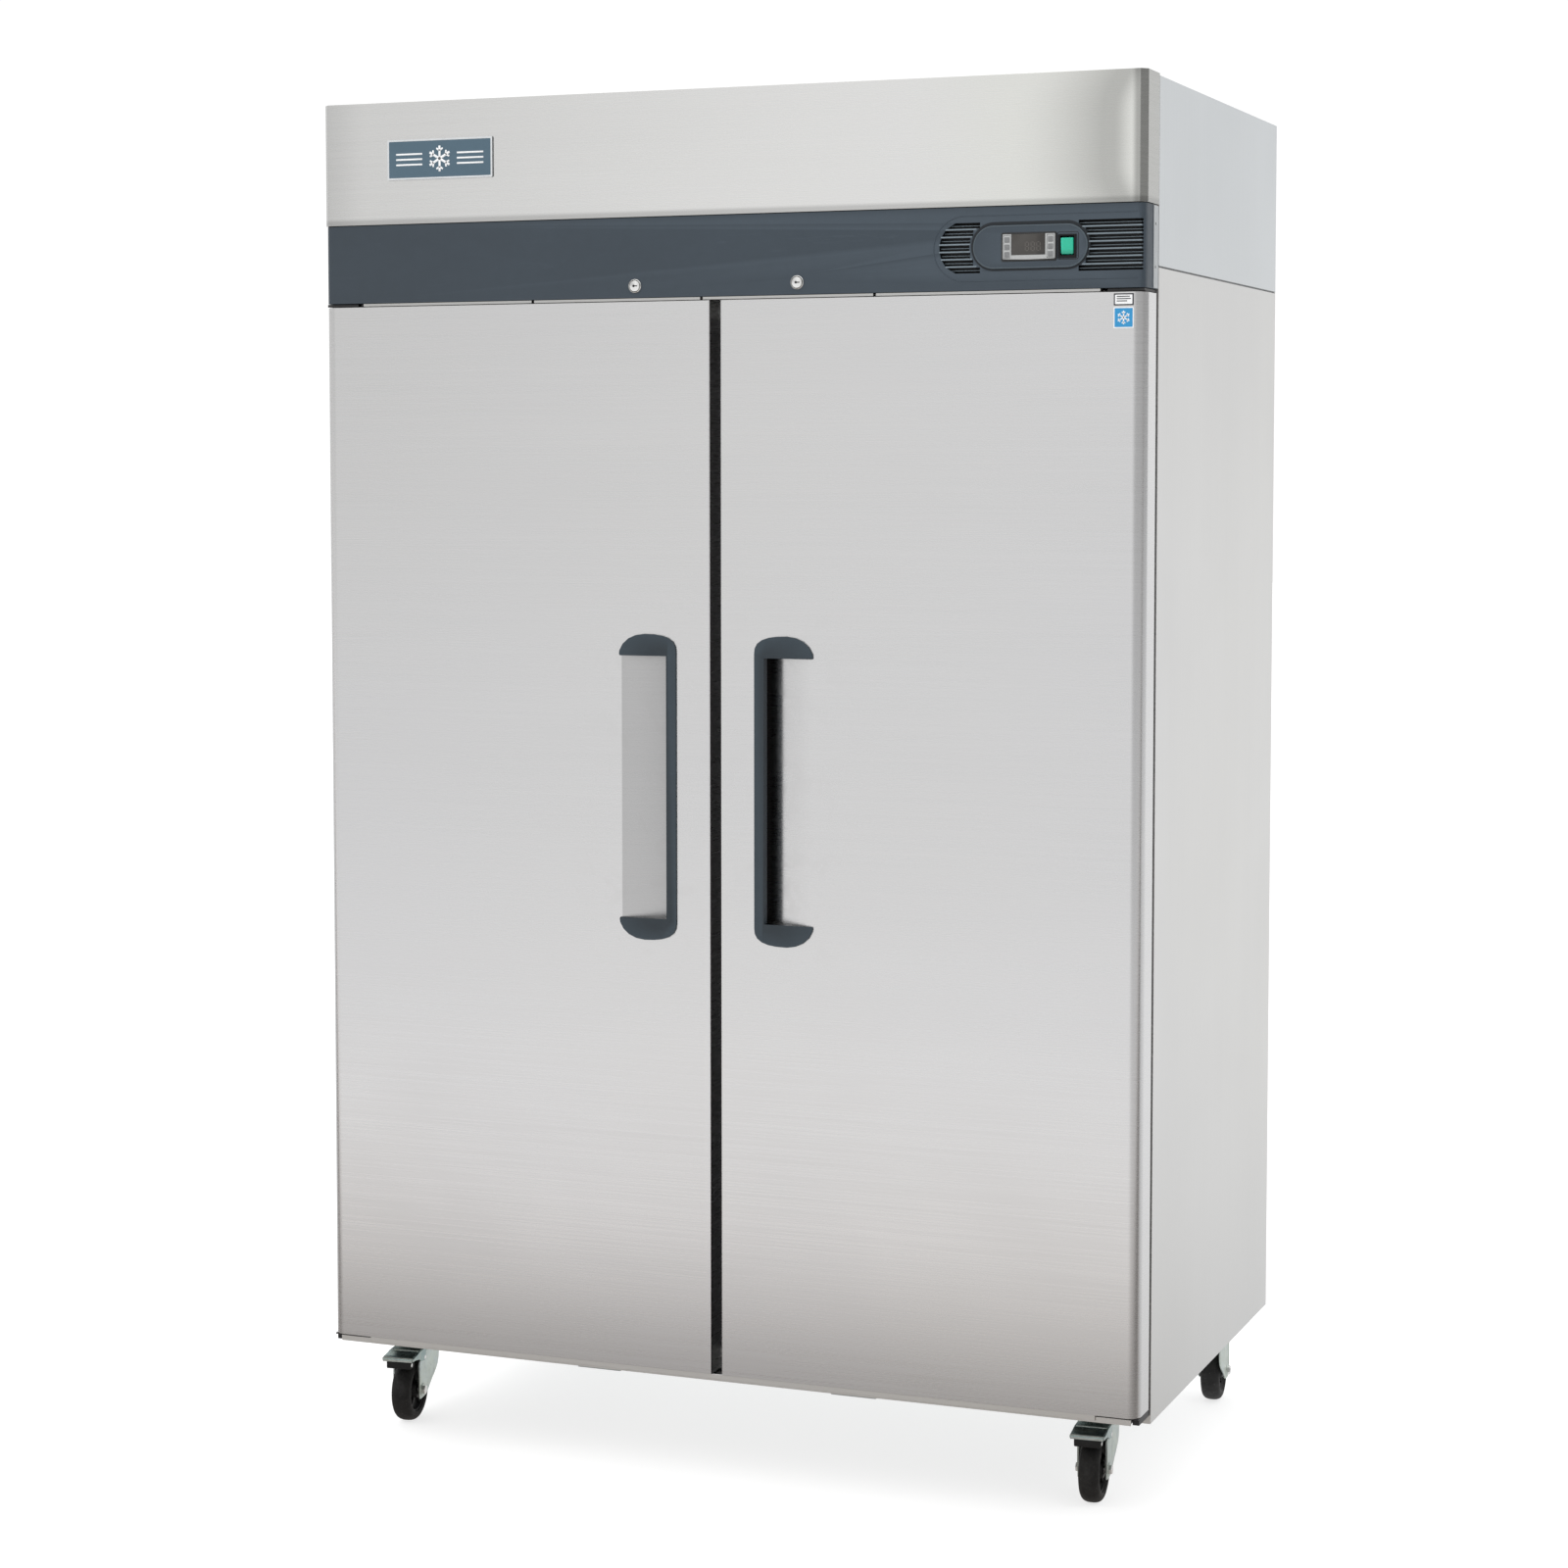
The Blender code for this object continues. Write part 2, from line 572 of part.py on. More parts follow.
# ---------------------------------------------------------------- evaporator, at the top of the inside
EV_TOP = CAV_Z1 - GAP - LINER - GAP
EV_Y = 0.070
evaporator_housing = open_box(
    "evaporator_housing",
    (-0.420, EV_Y, 1.590),
    (0.420, LINER_Y - 0.002, EV_TOP),
    [(0, 0, 1)],
    0.0020,
    WHITE,
    [(lambda a, b: abs(a.x - b.x) > 0.1 and a.y < 0.08 and a.z < 1.60, 0.020, 2)],
)
for x in (-0.20, 0.20):
    cut(evaporator_housing, tcyl((x, EV_Y - 0.01, 1.680), (x, EV_Y + 0.01, 1.680), 0.0720, 32))
    fuse(
        evaporator_housing,
        tcyl((x, EV_Y + 0.033, 1.680), (x, EV_Y + 0.068, 1.680), 0.024, 16),
        tbox((x - 0.006, EV_Y + 0.048, 1.5915), (x + 0.006, EV_Y + 0.051, EV_TOP - 0.004)),
    )
for i in range(9):
    x = -0.32 + i * 0.08
    cut(evaporator_housing, tbox((x - 0.028, 0.250, 1.58), (x + 0.028, 0.300, 1.60)))
evaporator_coil = box("evaporator_coil", (-0.370, EV_Y + 0.090, 1.610), (0.370, EV_Y + 0.170, 1.752), ALU)
fuse(
    evaporator_coil,
    tbox((-0.376, EV_Y + 0.085, 1.604), (-0.368, EV_Y + 0.175, 1.758)),
    tbox((0.368, EV_Y + 0.085, 1.604), (0.376, EV_Y + 0.175, 1.758)),
    tbox((0.374, EV_Y + 0.100, 1.620), (0.390, EV_Y + 0.160, 1.742)),
)
evaporator_fan_left = fan("evaporator_fan_left", (-0.20, EV_Y + 0.016, 1.680), 0.066, 5, 0.020, BLACK)
evaporator_fan_right = fan("evaporator_fan_right", (0.20, EV_Y + 0.016, 1.680), 0.066, 5, 0.020, BLACK)


# ---------------------------------------------------------------- doors
def pocket(grow, out):
    """Plan outline of the hand pocket: flush at the hinge side, sloping evenly to its deepest behind the bar."""
    points = [(GRIP_X1 + grow * 2.4, Y_FRONT - out)]
    for i in range(4):
        u = i / 3
        x = GRIP_X1 + 2.4 * grow * (1 - u) - u * (GRIP_X1 - GRIP_X0 + grow)
        points.append((x, Y_FRONT + u * (GRIP_DEPTH + 1.4 * grow) + (1 - u) * 0.2 * grow))
    points.append((GRIP_X0 - grow, Y_FRONT - out))
    return points


def pocket_tool(name, s, grow, out):
    loop = [(s * x, y) for x, y in pocket(grow, out)]
    return outline(name, [loop], "XY", GRIP_Z0 - 0.004 - grow, GRIP_Z1 + 0.004 + grow, tool=True)


def pin_tools(s):
    return (
        tcyl((s * PIN_X, PIN_Y, DOOR_Z1 - 0.024), (s * PIN_X, PIN_Y, DOOR_Z1 + 0.01), PIN_HOLE_R, 12),
        tcyl((s * PIN_X, PIN_Y, DOOR_Z0 - 0.01), (s * PIN_X, PIN_Y, DOOR_Z0 + 0.024), PIN_HOLE_R, 12),
    )


def handle_outline(s):
    """The C-shaped frame seen from the front: a bar beside the door's gap and a half-moon cap at each end."""
    zc = (0.8337 + 1.2963) / 2
    lower = [
        (0.0790, 0.8665),
        (0.1552, 0.8665),
        (0.1562, 0.8640),
        (0.1555, 0.8590),
        (0.1500, 0.8490),
        (0.1410, 0.8410),
        (0.1290, 0.8358),
        (0.1150, 0.8337),
        (0.0990, 0.8342),
        (0.0860, 0.8360),
        (0.0755, 0.8395),
        (0.0680, 0.8450),
        (0.0642, 0.8520),
        (0.0633, 0.8600),
    ]
    upper = [(x, 2 * zc - z) for x, z in reversed(lower)]
    return [(s * x, z) for x, z in lower + upper]


def door(side, s):
    axis = pivot(f"door_{side}_axis", (s * PIN_X, PIN_Y, 0.0))
    x_in, x_out = s * DOOR_X0, s * HALF_W
    outer_edge = lambda a, b: abs(a.z - b.z) > 0.1 and a.y < Y_FRONT + 0.001 and abs(a.x) > 0.3
    inner_edge = lambda a, b: abs(a.z - b.z) > 0.1 and a.y < Y_FRONT + 0.001 and abs(a.x) < 0.3
    skin = open_box(
        f"door_{side}_skin",
        (min(x_in, x_out), Y_FRONT, DOOR_Z0),
        (max(x_in, x_out), Y_FRONT + DOOR_T, DOOR_Z1),
        [(0, 1, 0)],
        0.0010,
        STEEL,
        [(outer_edge, DOOR_R, 8), (inner_edge, 0.003, 2)],
        origin=(s * PIN_X, PIN_Y, (DOOR_Z0 + DOOR_Z1) / 2),
    )
    boolean(skin, pocket_tool(f"tool_pocket_out_{side}", s, 0.0011, -0.0005), "UNION")
    boolean(skin, pocket_tool(f"tool_pocket_in_{side}", s, 0.0, 0.01), "DIFFERENCE")
    cut(skin, *pin_tools(s))

    inset = 0.0010 + GAP
    bm = box_bm(
        (x_in + s * inset, Y_FRONT + inset, DOOR_Z0 + inset),
        (x_out - s * inset, Y_FRONT + DOOR_T - 0.0016, DOOR_Z1 - inset),
    )
    bevel_edges(bm, lambda a, b: abs(a.z - b.z) > 0.1 and a.y < -0.39 and abs(a.x) > 0.3, DOOR_R - inset, 8)
    bevel_edges(bm, lambda a, b: abs(a.z - b.z) > 0.1 and a.y < -0.39 and abs(a.x) < 0.3, 0.002, 1)
    core = from_bm(f"door_{side}_foam", bm, FOAM, (s * PIN_X, PIN_Y, (DOOR_Z0 + DOOR_Z1) / 2))
    cut(core, pocket_tool(f"tool_pocket_core_{side}", s, 0.0018, 0.01), *pin_tools(s))

    inner = box(
        f"door_{side}_inner_panel",
        (x_in + s * inset, Y_FRONT + DOOR_T - 0.0013, DOOR_Z0 + inset),
        (x_out - s * inset, Y_FRONT + DOOR_T, DOOR_Z1 - inset),
        STEEL_IN,
        origin=(s * PIN_X, PIN_Y, (DOOR_Z0 + DOOR_Z1) / 2),
    )
    bm = box_bm((s * 0.0420, Y_FRONT + DOOR_T - 0.0005, 0.2180), (s * 0.6080, Y_FRONT + DOOR_T + 0.0060, 1.7520))
    bevel_edges(bm, lambda a, b: a.y > Y_FRONT + DOOR_T and b.y > Y_FRONT + DOOR_T, 0.004, 2)
    fuse(inner, from_bm(f"tool_dish_{side}", bm, tool=True))

    gasket = outline(
        f"door_{side}_gasket",
        [
            rounded(*sorted((s * 0.012, s * 0.638))[:1], 0.1860, sorted((s * 0.012, s * 0.638))[1], 1.7830, 0.006, 3),
            rounded(*sorted((s * 0.032, s * 0.618))[:1], 0.2060, sorted((s * 0.032, s * 0.618))[1], 1.7630, 0.004, 2),
        ],
        "XZ",
        Y_FRONT + DOOR_T + GAP,
        FRAME_Y - 0.0004,
        RUBBER,
        origin=(s * PIN_X, PIN_Y, (DOOR_Z0 + DOOR_Z1) / 2),
    )

    handle = outline(
        f"door_{side}_handle",
        [handle_outline(s)],
        "XZ",
        -0.4050,
        Y_FRONT - GAP,
        PLASTIC,
        origin=(s * PIN_X, PIN_Y, (DOOR_Z0 + DOOR_Z1) / 2),
    )
    fuse(handle, tbox((s * 0.0673, -0.4045, 0.8665), (s * 0.0787, Y_FRONT + 0.0110, 1.2635)))
    carry(axis, skin, core, inner, gasket, handle)


door("left", -1)
door("right", 1)

for side, s in (("left", -1), ("right", 1)):
    top = box(
        f"top_hinge_{side}",
        (s * 0.600, Y_FRONT + 0.0060, 1.7942),
        (s * 0.6540, FRAME_Y - 0.0004, 1.7982),
        BLACK,
    )
    fuse(top, tcyl((s * PIN_X, PIN_Y, 1.7960), (s * PIN_X, PIN_Y, DOOR_Z1 - 0.020), PIN_R, 12))
    bottom = box(
        f"bottom_hinge_{side}",
        (s * 0.6100, Y_FRONT + 0.0060, 0.1749),
        (s * 0.6560, FRAME_Y - 0.0004, 0.1768),
        BLACK,
    )
    fuse(
        bottom,
        tbox((s * 0.6456, Y_FRONT + 0.0120, 0.1660), (s * 0.6555, FRAME_Y - 0.0008, 0.1755)),
        tcyl((s * PIN_X, PIN_Y, 0.1755), (s * PIN_X, PIN_Y, DOOR_Z0 + 0.020), PIN_R, 12),
    )

# ---------------------------------------------------------------- door switch plungers
for side, s in (("left", -1), ("right", 1)):
    hole = ((s * 0.32, -0.36, 1.7890), (s * 0.32, -0.316, 1.7890), 0.0036, 12)
    cut(face_frame, tcyl(*hole))
    cut(foam_insulation, tcyl(*hole))
    plunger = cylinder(f"door_switch_plunger_{side}", (s * 0.32, -0.3425, 1.7890), (s * 0.32, -0.3220, 1.7890), 0.0030, WHITE, 12)

# ---------------------------------------------------------------- base frame
base_frame = box("base_frame", (-0.650, -0.322, 0.1503), (0.650, 0.400, 0.1527), GALV)
for x0, x1 in ((-0.265, -0.193), (0.157, 0.229)):
    fuse(base_frame, tbox((x0, -0.327, 0.1435), (x1, 0.396, 0.1508)))
for s in (-1, 1):
    fuse(base_frame, tbox((s * 0.512, -0.245, 0.1270), (s * 0.634, 0.385, 0.1506)))
    cut(base_frame, tbox((s * 0.5145, -0.42, 0.1295), (s * 0.6315, 0.42, 0.1480)))
for name, x, y, heading, brake in CASTERS:
    fuse(base_frame, tbox((x - 0.040, y - 0.045, 0.1240), (x + 0.040, y + 0.045, 0.1275)))


# ---------------------------------------------------------------- casters
def placed(obj, x, y, heading):
    """Moves an object modelled round the swivel axis, with its Boolean tools, to its caster and turns it to its heading."""
    turn = Matrix.Rotation(math.radians(heading), 4, "Z")
    for part in [obj] + [m.object for m in obj.modifiers if m.type == "BOOLEAN"]:
        part.location = turn @ part.location + Vector((x, y, 0))
        part.rotation_euler = (0, 0, math.radians(heading))


def wheel_profile():
    """Radius and width position round half of the wheel's section, from bore to tread."""
    half = WHEEL_W / 2
    side = [
        (0.0066, half - 0.0005),
        (0.0130, half - 0.0005),
        (0.0145, half - 0.0060),
        (0.0330, half - 0.0050),
        (0.0355, half - 0.0005),
        (0.0420, half),
        (0.0465, half - 0.0025),
        (0.0490, half - 0.0070),
        (0.0500, half - 0.0120),
    ]
    return side + [(r, -x) for r, x in reversed(side)]


def caster(tag, x, y, heading, brake):
    front = -TRAIL
    swivel = pivot(f"caster_{tag}_swivel", (x, y, 0.12))
    # fork: race, crown plate, two legs and the axle between them
    fork = cylinder(f"caster_{tag}_fork", (0, 0, 0.1110), (0, 0, 0.1236), 0.0300, ZINC, 24, origin=(0, 0, 0.12))
    fuse(fork, tbox((-0.0225, -0.034, 0.1084), (0.0225, 0.0385, 0.1115)))
    leg = [
        (0.0385, 0.1112),
        (0.0404, 0.1040),
        (0.0400, 0.0900),
        (0.0345, 0.0760),
        (0.0220, 0.0650),
        (-0.0010, 0.0516),
        (-0.0155, 0.0405),
        (-0.0400, 0.0368),
        (-0.0480, 0.0375),
        (-0.0498, 0.0420),
        (-0.0495, 0.0960),
        (-0.0440, 0.1060),
        (-0.0340, 0.1112),
    ]
    for s in (-1, 1):
        lo, hi = sorted((s * 0.0200, s * 0.0225))
        tool = outline(f"tool_leg_{tag}_{s}", [leg], "YZ", lo, hi, tool=True)
        fuse(fork, tool)
    for s in (-1, 1):
        fuse(fork, tcyl((s * 0.0215, front, AXLE_Z), (s * 0.0275, front, AXLE_Z), 0.0075, 6))
    fuse(fork, tcyl((-0.0215, front, AXLE_Z), (0.0215, front, AXLE_Z), 0.0060, 12))
    placed(fork, x, y, heading)

    # wheel: a section turned about the axle
    bm = bmesh.new()
    verts = [bm.verts.new((w, -r, 0.0)) for r, w in wheel_profile()]
    for a, b in zip(verts, verts[1:] + verts[:1]):
        bm.edges.new((a, b))
    mesh = bpy.data.meshes.new(f"caster_{tag}_wheel")
    bm.to_mesh(mesh)
    bm.free()
    mesh.materials.append(TYRE)
    wheel = bpy.data.objects.new(f"caster_{tag}_wheel", mesh)
    link(wheel, False)
    screw = wheel.modifiers.new("turn", "SCREW")
    screw.axis = "X"
    screw.steps = screw.render_steps = 24
    screw.use_merge_vertices = True
    screw.merge_threshold = 0.00002
    screw.use_normal_flip = False
    screw.use_smooth_shade = True
    wheel.location = (0, front, AXLE_Z)
    placed(wheel, x, y, heading)
    axle = pivot(f"caster_{tag}_axle", wheel.location)
    carry(axle, wheel)
    carry(swivel, fork, axle)

    if brake:
        # pedal: side arms on the pin behind the crown, a bent tread plate in front and the pad under it
        tread = [
            (-0.0330, 0.1195),
            (-0.0560, 0.1195),
            (-0.0885, 0.1156),
            (-0.0900, 0.1142),
            (-0.0900, 0.1080),
            (-0.0874, 0.1080),
            (-0.0874, 0.1134),
            (-0.0560, 0.1172),
            (-0.0330, 0.1172),
        ]
        pedal = box(
            f"caster_{tag}_brake", (-0.0180, -0.0860, 0.0958), (0.0180, -0.0700, 0.1168), ZINC, origin=(0, -0.0330, 0.1040)
        )
        fuse(
            pedal,
            outline(f"tool_tread_{tag}", [tread], "YZ", -0.0265, 0.0265, tool=True),
            tbox((-0.0265, -0.0640, 0.0985), (-0.0240, -0.0290, 0.1185)),
            tbox((0.0240, -0.0640, 0.0985), (0.0265, -0.0290, 0.1185)),
            tcyl((-0.0205, -0.0790, 0.1020), (0.0205, -0.0790, 0.1020), 0.0032, 10),
        )
        placed(pedal, x, y, heading)
        pin = pivot(f"caster_{tag}_brake_pin", pedal.location)
        carry(pin, pedal)
        carry(swivel, pin)


for spec in CASTERS:
    caster(*spec)
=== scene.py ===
import json
import math

import bmesh
import bpy
from mathutils import Matrix, Vector


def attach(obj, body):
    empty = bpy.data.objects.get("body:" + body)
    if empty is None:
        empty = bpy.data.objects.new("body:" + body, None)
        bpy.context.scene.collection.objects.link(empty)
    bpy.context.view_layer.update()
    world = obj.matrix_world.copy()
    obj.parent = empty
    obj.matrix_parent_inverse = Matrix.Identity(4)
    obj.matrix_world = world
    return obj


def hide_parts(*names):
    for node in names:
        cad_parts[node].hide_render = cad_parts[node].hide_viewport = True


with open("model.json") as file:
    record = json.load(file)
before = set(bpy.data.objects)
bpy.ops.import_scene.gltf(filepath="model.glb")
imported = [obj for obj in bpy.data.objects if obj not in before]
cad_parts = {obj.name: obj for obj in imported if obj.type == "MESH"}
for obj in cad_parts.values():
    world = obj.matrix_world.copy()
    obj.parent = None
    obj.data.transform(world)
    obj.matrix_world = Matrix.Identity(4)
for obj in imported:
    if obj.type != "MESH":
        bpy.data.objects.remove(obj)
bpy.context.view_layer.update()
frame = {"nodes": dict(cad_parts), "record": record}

NODES = frame["nodes"]
NODE_BODY = {n: b for b, members in frame["record"]["behaviour"]["bodies"].items() for n in members}


# ================================================================ materials
class Mat:
    """Wires one procedural material: colour factors, roughness and bump from textures in the frame's coordinates."""

    def __init__(self, name, colour, metallic=0.0, rough=0.5, **sockets):
        self.mat = bpy.data.materials.new(name)
        self.mat.use_nodes = True
        self.tree = self.mat.node_tree
        self.shader = self.tree.nodes["Principled BSDF"]
        self.colour, self.rough = colour, rough
        self.shader.inputs["Base Color"].default_value = (*colour, 1)
        self.shader.inputs["Metallic"].default_value = metallic
        self.shader.inputs["Roughness"].default_value = rough
        for key, value in sockets.items():
            self.shader.inputs[key.replace("_", " ")].default_value = value
        self.coord = self.node("ShaderNodeTexCoord").outputs["Object"]
        self.factor = None
        self.roughness = None
        self.height = None
        self.base = None

    def node(self, kind, **settings):
        made = self.tree.nodes.new(kind)
        for key, value in settings.items():
            setattr(made, key, value)
        return made

    def link(self, out, into):
        self.tree.links.new(out, into)

    def math(self, operation, a, b=None, c=None, clamp=False):
        made = self.node("ShaderNodeMath", operation=operation, use_clamp=clamp)
        for i, value in enumerate((a, b, c)):
            if value is None:
                continue
            if isinstance(value, (int, float)):
                made.inputs[i].default_value = value
            else:
                self.link(value, made.inputs[i])
        return made.outputs[0]

    def remap(self, value, lo, hi, to_lo=0.0, to_hi=1.0, smooth=False):
        made = self.node("ShaderNodeMapRange", interpolation_type="SMOOTHSTEP" if smooth else "LINEAR")
        self.link(value, made.inputs["Value"])
        made.inputs["From Min"].default_value = lo
        made.inputs["From Max"].default_value = hi
        made.inputs["To Min"].default_value = to_lo
        made.inputs["To Max"].default_value = to_hi
        return made.outputs["Result"]

    def mapped(self, scale=(1, 1, 1), shift=(0, 0, 0), turn=(0, 0, 0)):
        made = self.node("ShaderNodeMapping")
        made.inputs["Scale"].default_value = scale
        made.inputs["Location"].default_value = shift
        made.inputs["Rotation"].default_value = turn
        self.link(self.coord, made.inputs["Vector"])
        return made.outputs["Vector"]

    def noise(self, scale, detail=2.0, roughness=0.5, distortion=0.0, shift=(0, 0, 0), turn=(0, 0, 0)):
        """A noise whose scale is per metre on each axis, spread over about 0 to 1."""
        if isinstance(scale, (int, float)):
            scale = (scale,) * 3
        made = self.node("ShaderNodeTexNoise")
        made.inputs["Scale"].default_value = 1.0
        made.inputs["Detail"].default_value = detail
        made.inputs["Roughness"].default_value = roughness
        made.inputs["Distortion"].default_value = distortion
        self.link(self.mapped(scale, shift, turn), made.inputs["Vector"])
        return self.remap(made.outputs["Fac"], 0.28, 0.72)

    def cells(self, scale, feature="F1", randomness=1.0, shift=(0, 0, 0)):
        made = self.node("ShaderNodeTexVoronoi", feature=feature)
        made.inputs["Scale"].default_value = 1.0
        made.inputs["Randomness"].default_value = randomness
        if isinstance(scale, (int, float)):
            scale = (scale,) * 3
        self.link(self.mapped(scale, shift), made.inputs["Vector"])
        return made.outputs["Distance"]

    def cell_value(self, scale):
        made = self.node("ShaderNodeTexVoronoi")
        made.inputs["Scale"].default_value = scale
        self.link(self.coord, made.inputs["Vector"])
        apart = self.node("ShaderNodeSeparateColor")
        self.link(made.outputs["Color"], apart.inputs["Color"])
        return apart.outputs[0]

    def axis(self, which):
        made = self.node("ShaderNodeSeparateXYZ")
        self.link(self.coord, made.inputs["Vector"])
        return made.outputs["XYZ".index(which)]

    def band(self, which, lo, hi, smooth=True):
        return self.remap(self.axis(which), lo, hi, smooth=smooth)

    def edges(self, lo=0.52, hi=0.60):
        """Where a surface is sharply convex."""
        return self.remap(self.node("ShaderNodeNewGeometry").outputs["Pointiness"], lo, hi)

    def vary(self, value, amount):
        """Multiplies the colour by 1 +- amount as value goes from 0 to 1."""
        scaled = self.remap(value, 0, 1, 1 - amount, 1 + amount)
        self.factor = scaled if self.factor is None else self.math("MULTIPLY", self.factor, scaled)
        return self

    def shade(self, value, at_one):
        """Multiplies the colour by 1 where value is 0 and by at_one where it is 1."""
        scaled = self.remap(value, 0, 1, 1, at_one)
        self.factor = scaled if self.factor is None else self.math("MULTIPLY", self.factor, scaled)
        return self

    def blend(self, value, colour, amount=1.0):
        """Mixes towards another colour by value."""
        made = self.node("ShaderNodeMix", data_type="RGBA")
        self.link(self.math("MULTIPLY", value, amount, clamp=True), made.inputs[0])
        if self.base is None:
            made.inputs[6].default_value = (*self.colour, 1)
        else:
            self.link(self.base, made.inputs[6])
        made.inputs[7].default_value = (*colour, 1)
        self.base = made.outputs[2]
        return self

    def scuff(self, value, amount):
        """Adds amount times value to the roughness."""
        scaled = self.math("MULTIPLY", value, amount)
        self.roughness = scaled if self.roughness is None else self.math("ADD", self.roughness, scaled)
        return self

    def relief(self, value, weight=1.0):
        """Adds to the bump height, in metres times weight."""
        scaled = self.math("MULTIPLY", value, weight)
        self.height = scaled if self.height is None else self.math("ADD", self.height, scaled)
        return self

    def brushed(self, tangent, amount):
        """Highlights stretched along a direction in the piece's own frame."""
        made = self.node("ShaderNodeCombineXYZ")
        for i in range(3):
            made.inputs[i].default_value = tangent[i]
        turned = self.node("ShaderNodeVectorTransform", vector_type="VECTOR", convert_from="OBJECT", convert_to="WORLD")
        self.link(made.outputs[0], turned.inputs[0])
        self.link(turned.outputs[0], self.shader.inputs["Tangent"])
        self.shader.inputs["Anisotropic"].default_value = amount
        return self

    def done(self, bump=1.0):
        if self.factor is not None:
            made = self.node("ShaderNodeMix", data_type="RGBA", blend_type="MULTIPLY")
            made.inputs[0].default_value = 1.0
            if self.base is None:
                made.inputs[6].default_value = (*self.colour, 1)
            else:
                self.link(self.base, made.inputs[6])
            self.link(self.factor, made.inputs[7])
            self.base = made.outputs[2]
        if self.base is not None:
            self.link(self.base, self.shader.inputs["Base Color"])
        if self.roughness is not None:
            self.link(self.math("ADD", self.roughness, self.rough, clamp=True), self.shader.inputs["Roughness"])
        if self.height is not None:
            made = self.node("ShaderNodeBump")
            made.inputs["Strength"].default_value = bump
            made.inputs["Distance"].default_value = 1.0
            self.link(self.height, made.inputs["Height"])
            self.link(made.outputs["Normal"], self.shader.inputs["Normal"])
        return self.mat


def steel(name, colour, grain, rough=0.27, streak=0.010, tangent=(0, 0, 1), smudges_and_painted_shade=None, anisotropic=0.55):
    """Brushed stainless sheet. grain holds the noise scale along each axis, per metre."""
    m = Mat(name, colour, 1.0, rough)
    long_ = m.noise(grain, 3, 0.6)
    fine = m.noise(tuple(g * 3.1 for g in grain), 2, 0.6, shift=(3.1, 1.7, 0.4))
    broad = m.noise(tuple(0.9 if g < 20 else 7.0 for g in grain), 2, 0.5, shift=(0.3, 5.0, 2.0))
    m.vary(long_, streak).vary(fine, streak * 1.3).vary(broad, 0.010)
    m.blend(m.noise(1.1, 1, 0.5, shift=(8, 2, 5)), (colour[0] * 1.012, colour[1] * 1.004, colour[2] * 0.982), 0.7)
    m.scuff(long_, 0.05).scuff(fine, 0.06).scuff(m.noise(2.3, 3, 0.6, 0.4, shift=(4, 4, 4)), 0.035)
    m.relief(long_, 0.0000022).relief(fine, 0.0000014)
    m.brushed(tangent, anisotropic)
    # the given function adds smudges and painted shade to the colour
    if smudges_and_painted_shade:
        smudges_and_painted_shade(m)
    return m.done(0.22)


def smudges_and_pocket_shade(m):
    """Faint wipe marks and fingerprints beside the hand pockets, and painted shade inside the pockets."""
    x = m.math("ABSOLUTE", m.math("SUBTRACT", m.math("ABSOLUTE", m.axis("X")), 0.115))
    z = m.math("ABSOLUTE", m.math("SUBTRACT", m.axis("Z"), 1.08))
    near = m.math("MULTIPLY", m.remap(x, 0.16, 0.03, smooth=True), m.remap(z, 0.36, 0.15, smooth=True))
    spots = m.math("MULTIPLY", m.remap(m.noise(22, 4, 0.6, 1.2), 0.55, 0.85), near)
    m.scuff(spots, 0.05)
    m.shade(spots, 0.985)
    # painted shade in the hand pockets: dark beside the right bar, a shade duller on the left
    x, y, z = m.axis("X"), m.axis("Y"), m.axis("Z")
    across = m.math("MULTIPLY", m.remap(y, -0.4018, -0.4012), m.math("LESS_THAN", m.math("ABSOLUTE", m.math("SUBTRACT", z, 1.0655)), 0.205))
    across = m.math("MULTIPLY", across, m.math("LESS_THAN", m.math("ABSOLUTE", m.math("SUBTRACT", m.math("ABSOLUTE", x), 0.110)), 0.046))
    m.shade(m.math("MULTIPLY", m.math("MULTIPLY", across, m.math("GREATER_THAN", x, 0.0)), m.remap(x, 0.0750, 0.0672, smooth=True)), 0.02)
    m.shade(m.math("MULTIPLY", across, m.math("LESS_THAN", x, 0.0)), 0.72)


def hood_painted_shade(m):
    """Painted shade on the hood's front: the soft darker arc near its right end, where the sheet dips."""
    x, z = m.axis("X"), m.axis("Z")
    up = m.math("MAXIMUM", m.math("SUBTRACT", z, 2.040), 0.0)
    down = m.math("MAXIMUM", m.math("SUBTRACT", 1.975, z), 0.0)
    bend = m.math("ADD", m.math("MULTIPLY", m.math("MULTIPLY", up, up), 6.0), m.math("MULTIPLY", m.math("MULTIPLY", down, down), 7.0))
    away = m.math("SUBTRACT", x, m.math("ADD", bend, 0.592))
    left = m.math("POWER", m.remap(away, -0.140, 0.0), 1.7)
    right = m.remap(away, 0.048, 0.016, smooth=True)
    arc = m.math("MULTIPLY", left, right)
    m.shade(arc, 0.65)
    # painted shade where the sheet's right end rolls back towards the corner
    m.shade(m.remap(x, 0.634, 0.644, smooth=True), 0.55)
    # painted shade: darker at the left end and towards the left
    m.shade(m.remap(x, -0.575, -0.657, smooth=True), 0.86)
    m.shade(m.remap(x, 0.15, -0.62), 0.945)
    # painted shade along the bent edge at the bottom
    m.shade(m.remap(z, 1.9300, 1.9235, smooth=True), 0.72)
    m.blend(m.remap(x, 0.30, 0.45), (0.722, 0.725, 0.696), 1.0)


def painted_seam_and_side_shade(m):
    """Painted shadow in the joint between the cabinet's side and the hood's, and painted shade towards the side's
    bottom.
    """
    away = m.math("ABSOLUTE", m.math("SUBTRACT", m.axis("Z"), 1.8315))
    m.shade(m.remap(away, 0.0019, 0.0009, smooth=True), 0.20)
    # painted shade: darker towards the bottom
    m.shade(m.remap(m.axis("Z"), 1.65, 0.20), 0.875)
    m.blend(m.remap(m.axis("Z"), 1.8310, 1.8320), (0.700, 0.728, 0.745), 1.0)
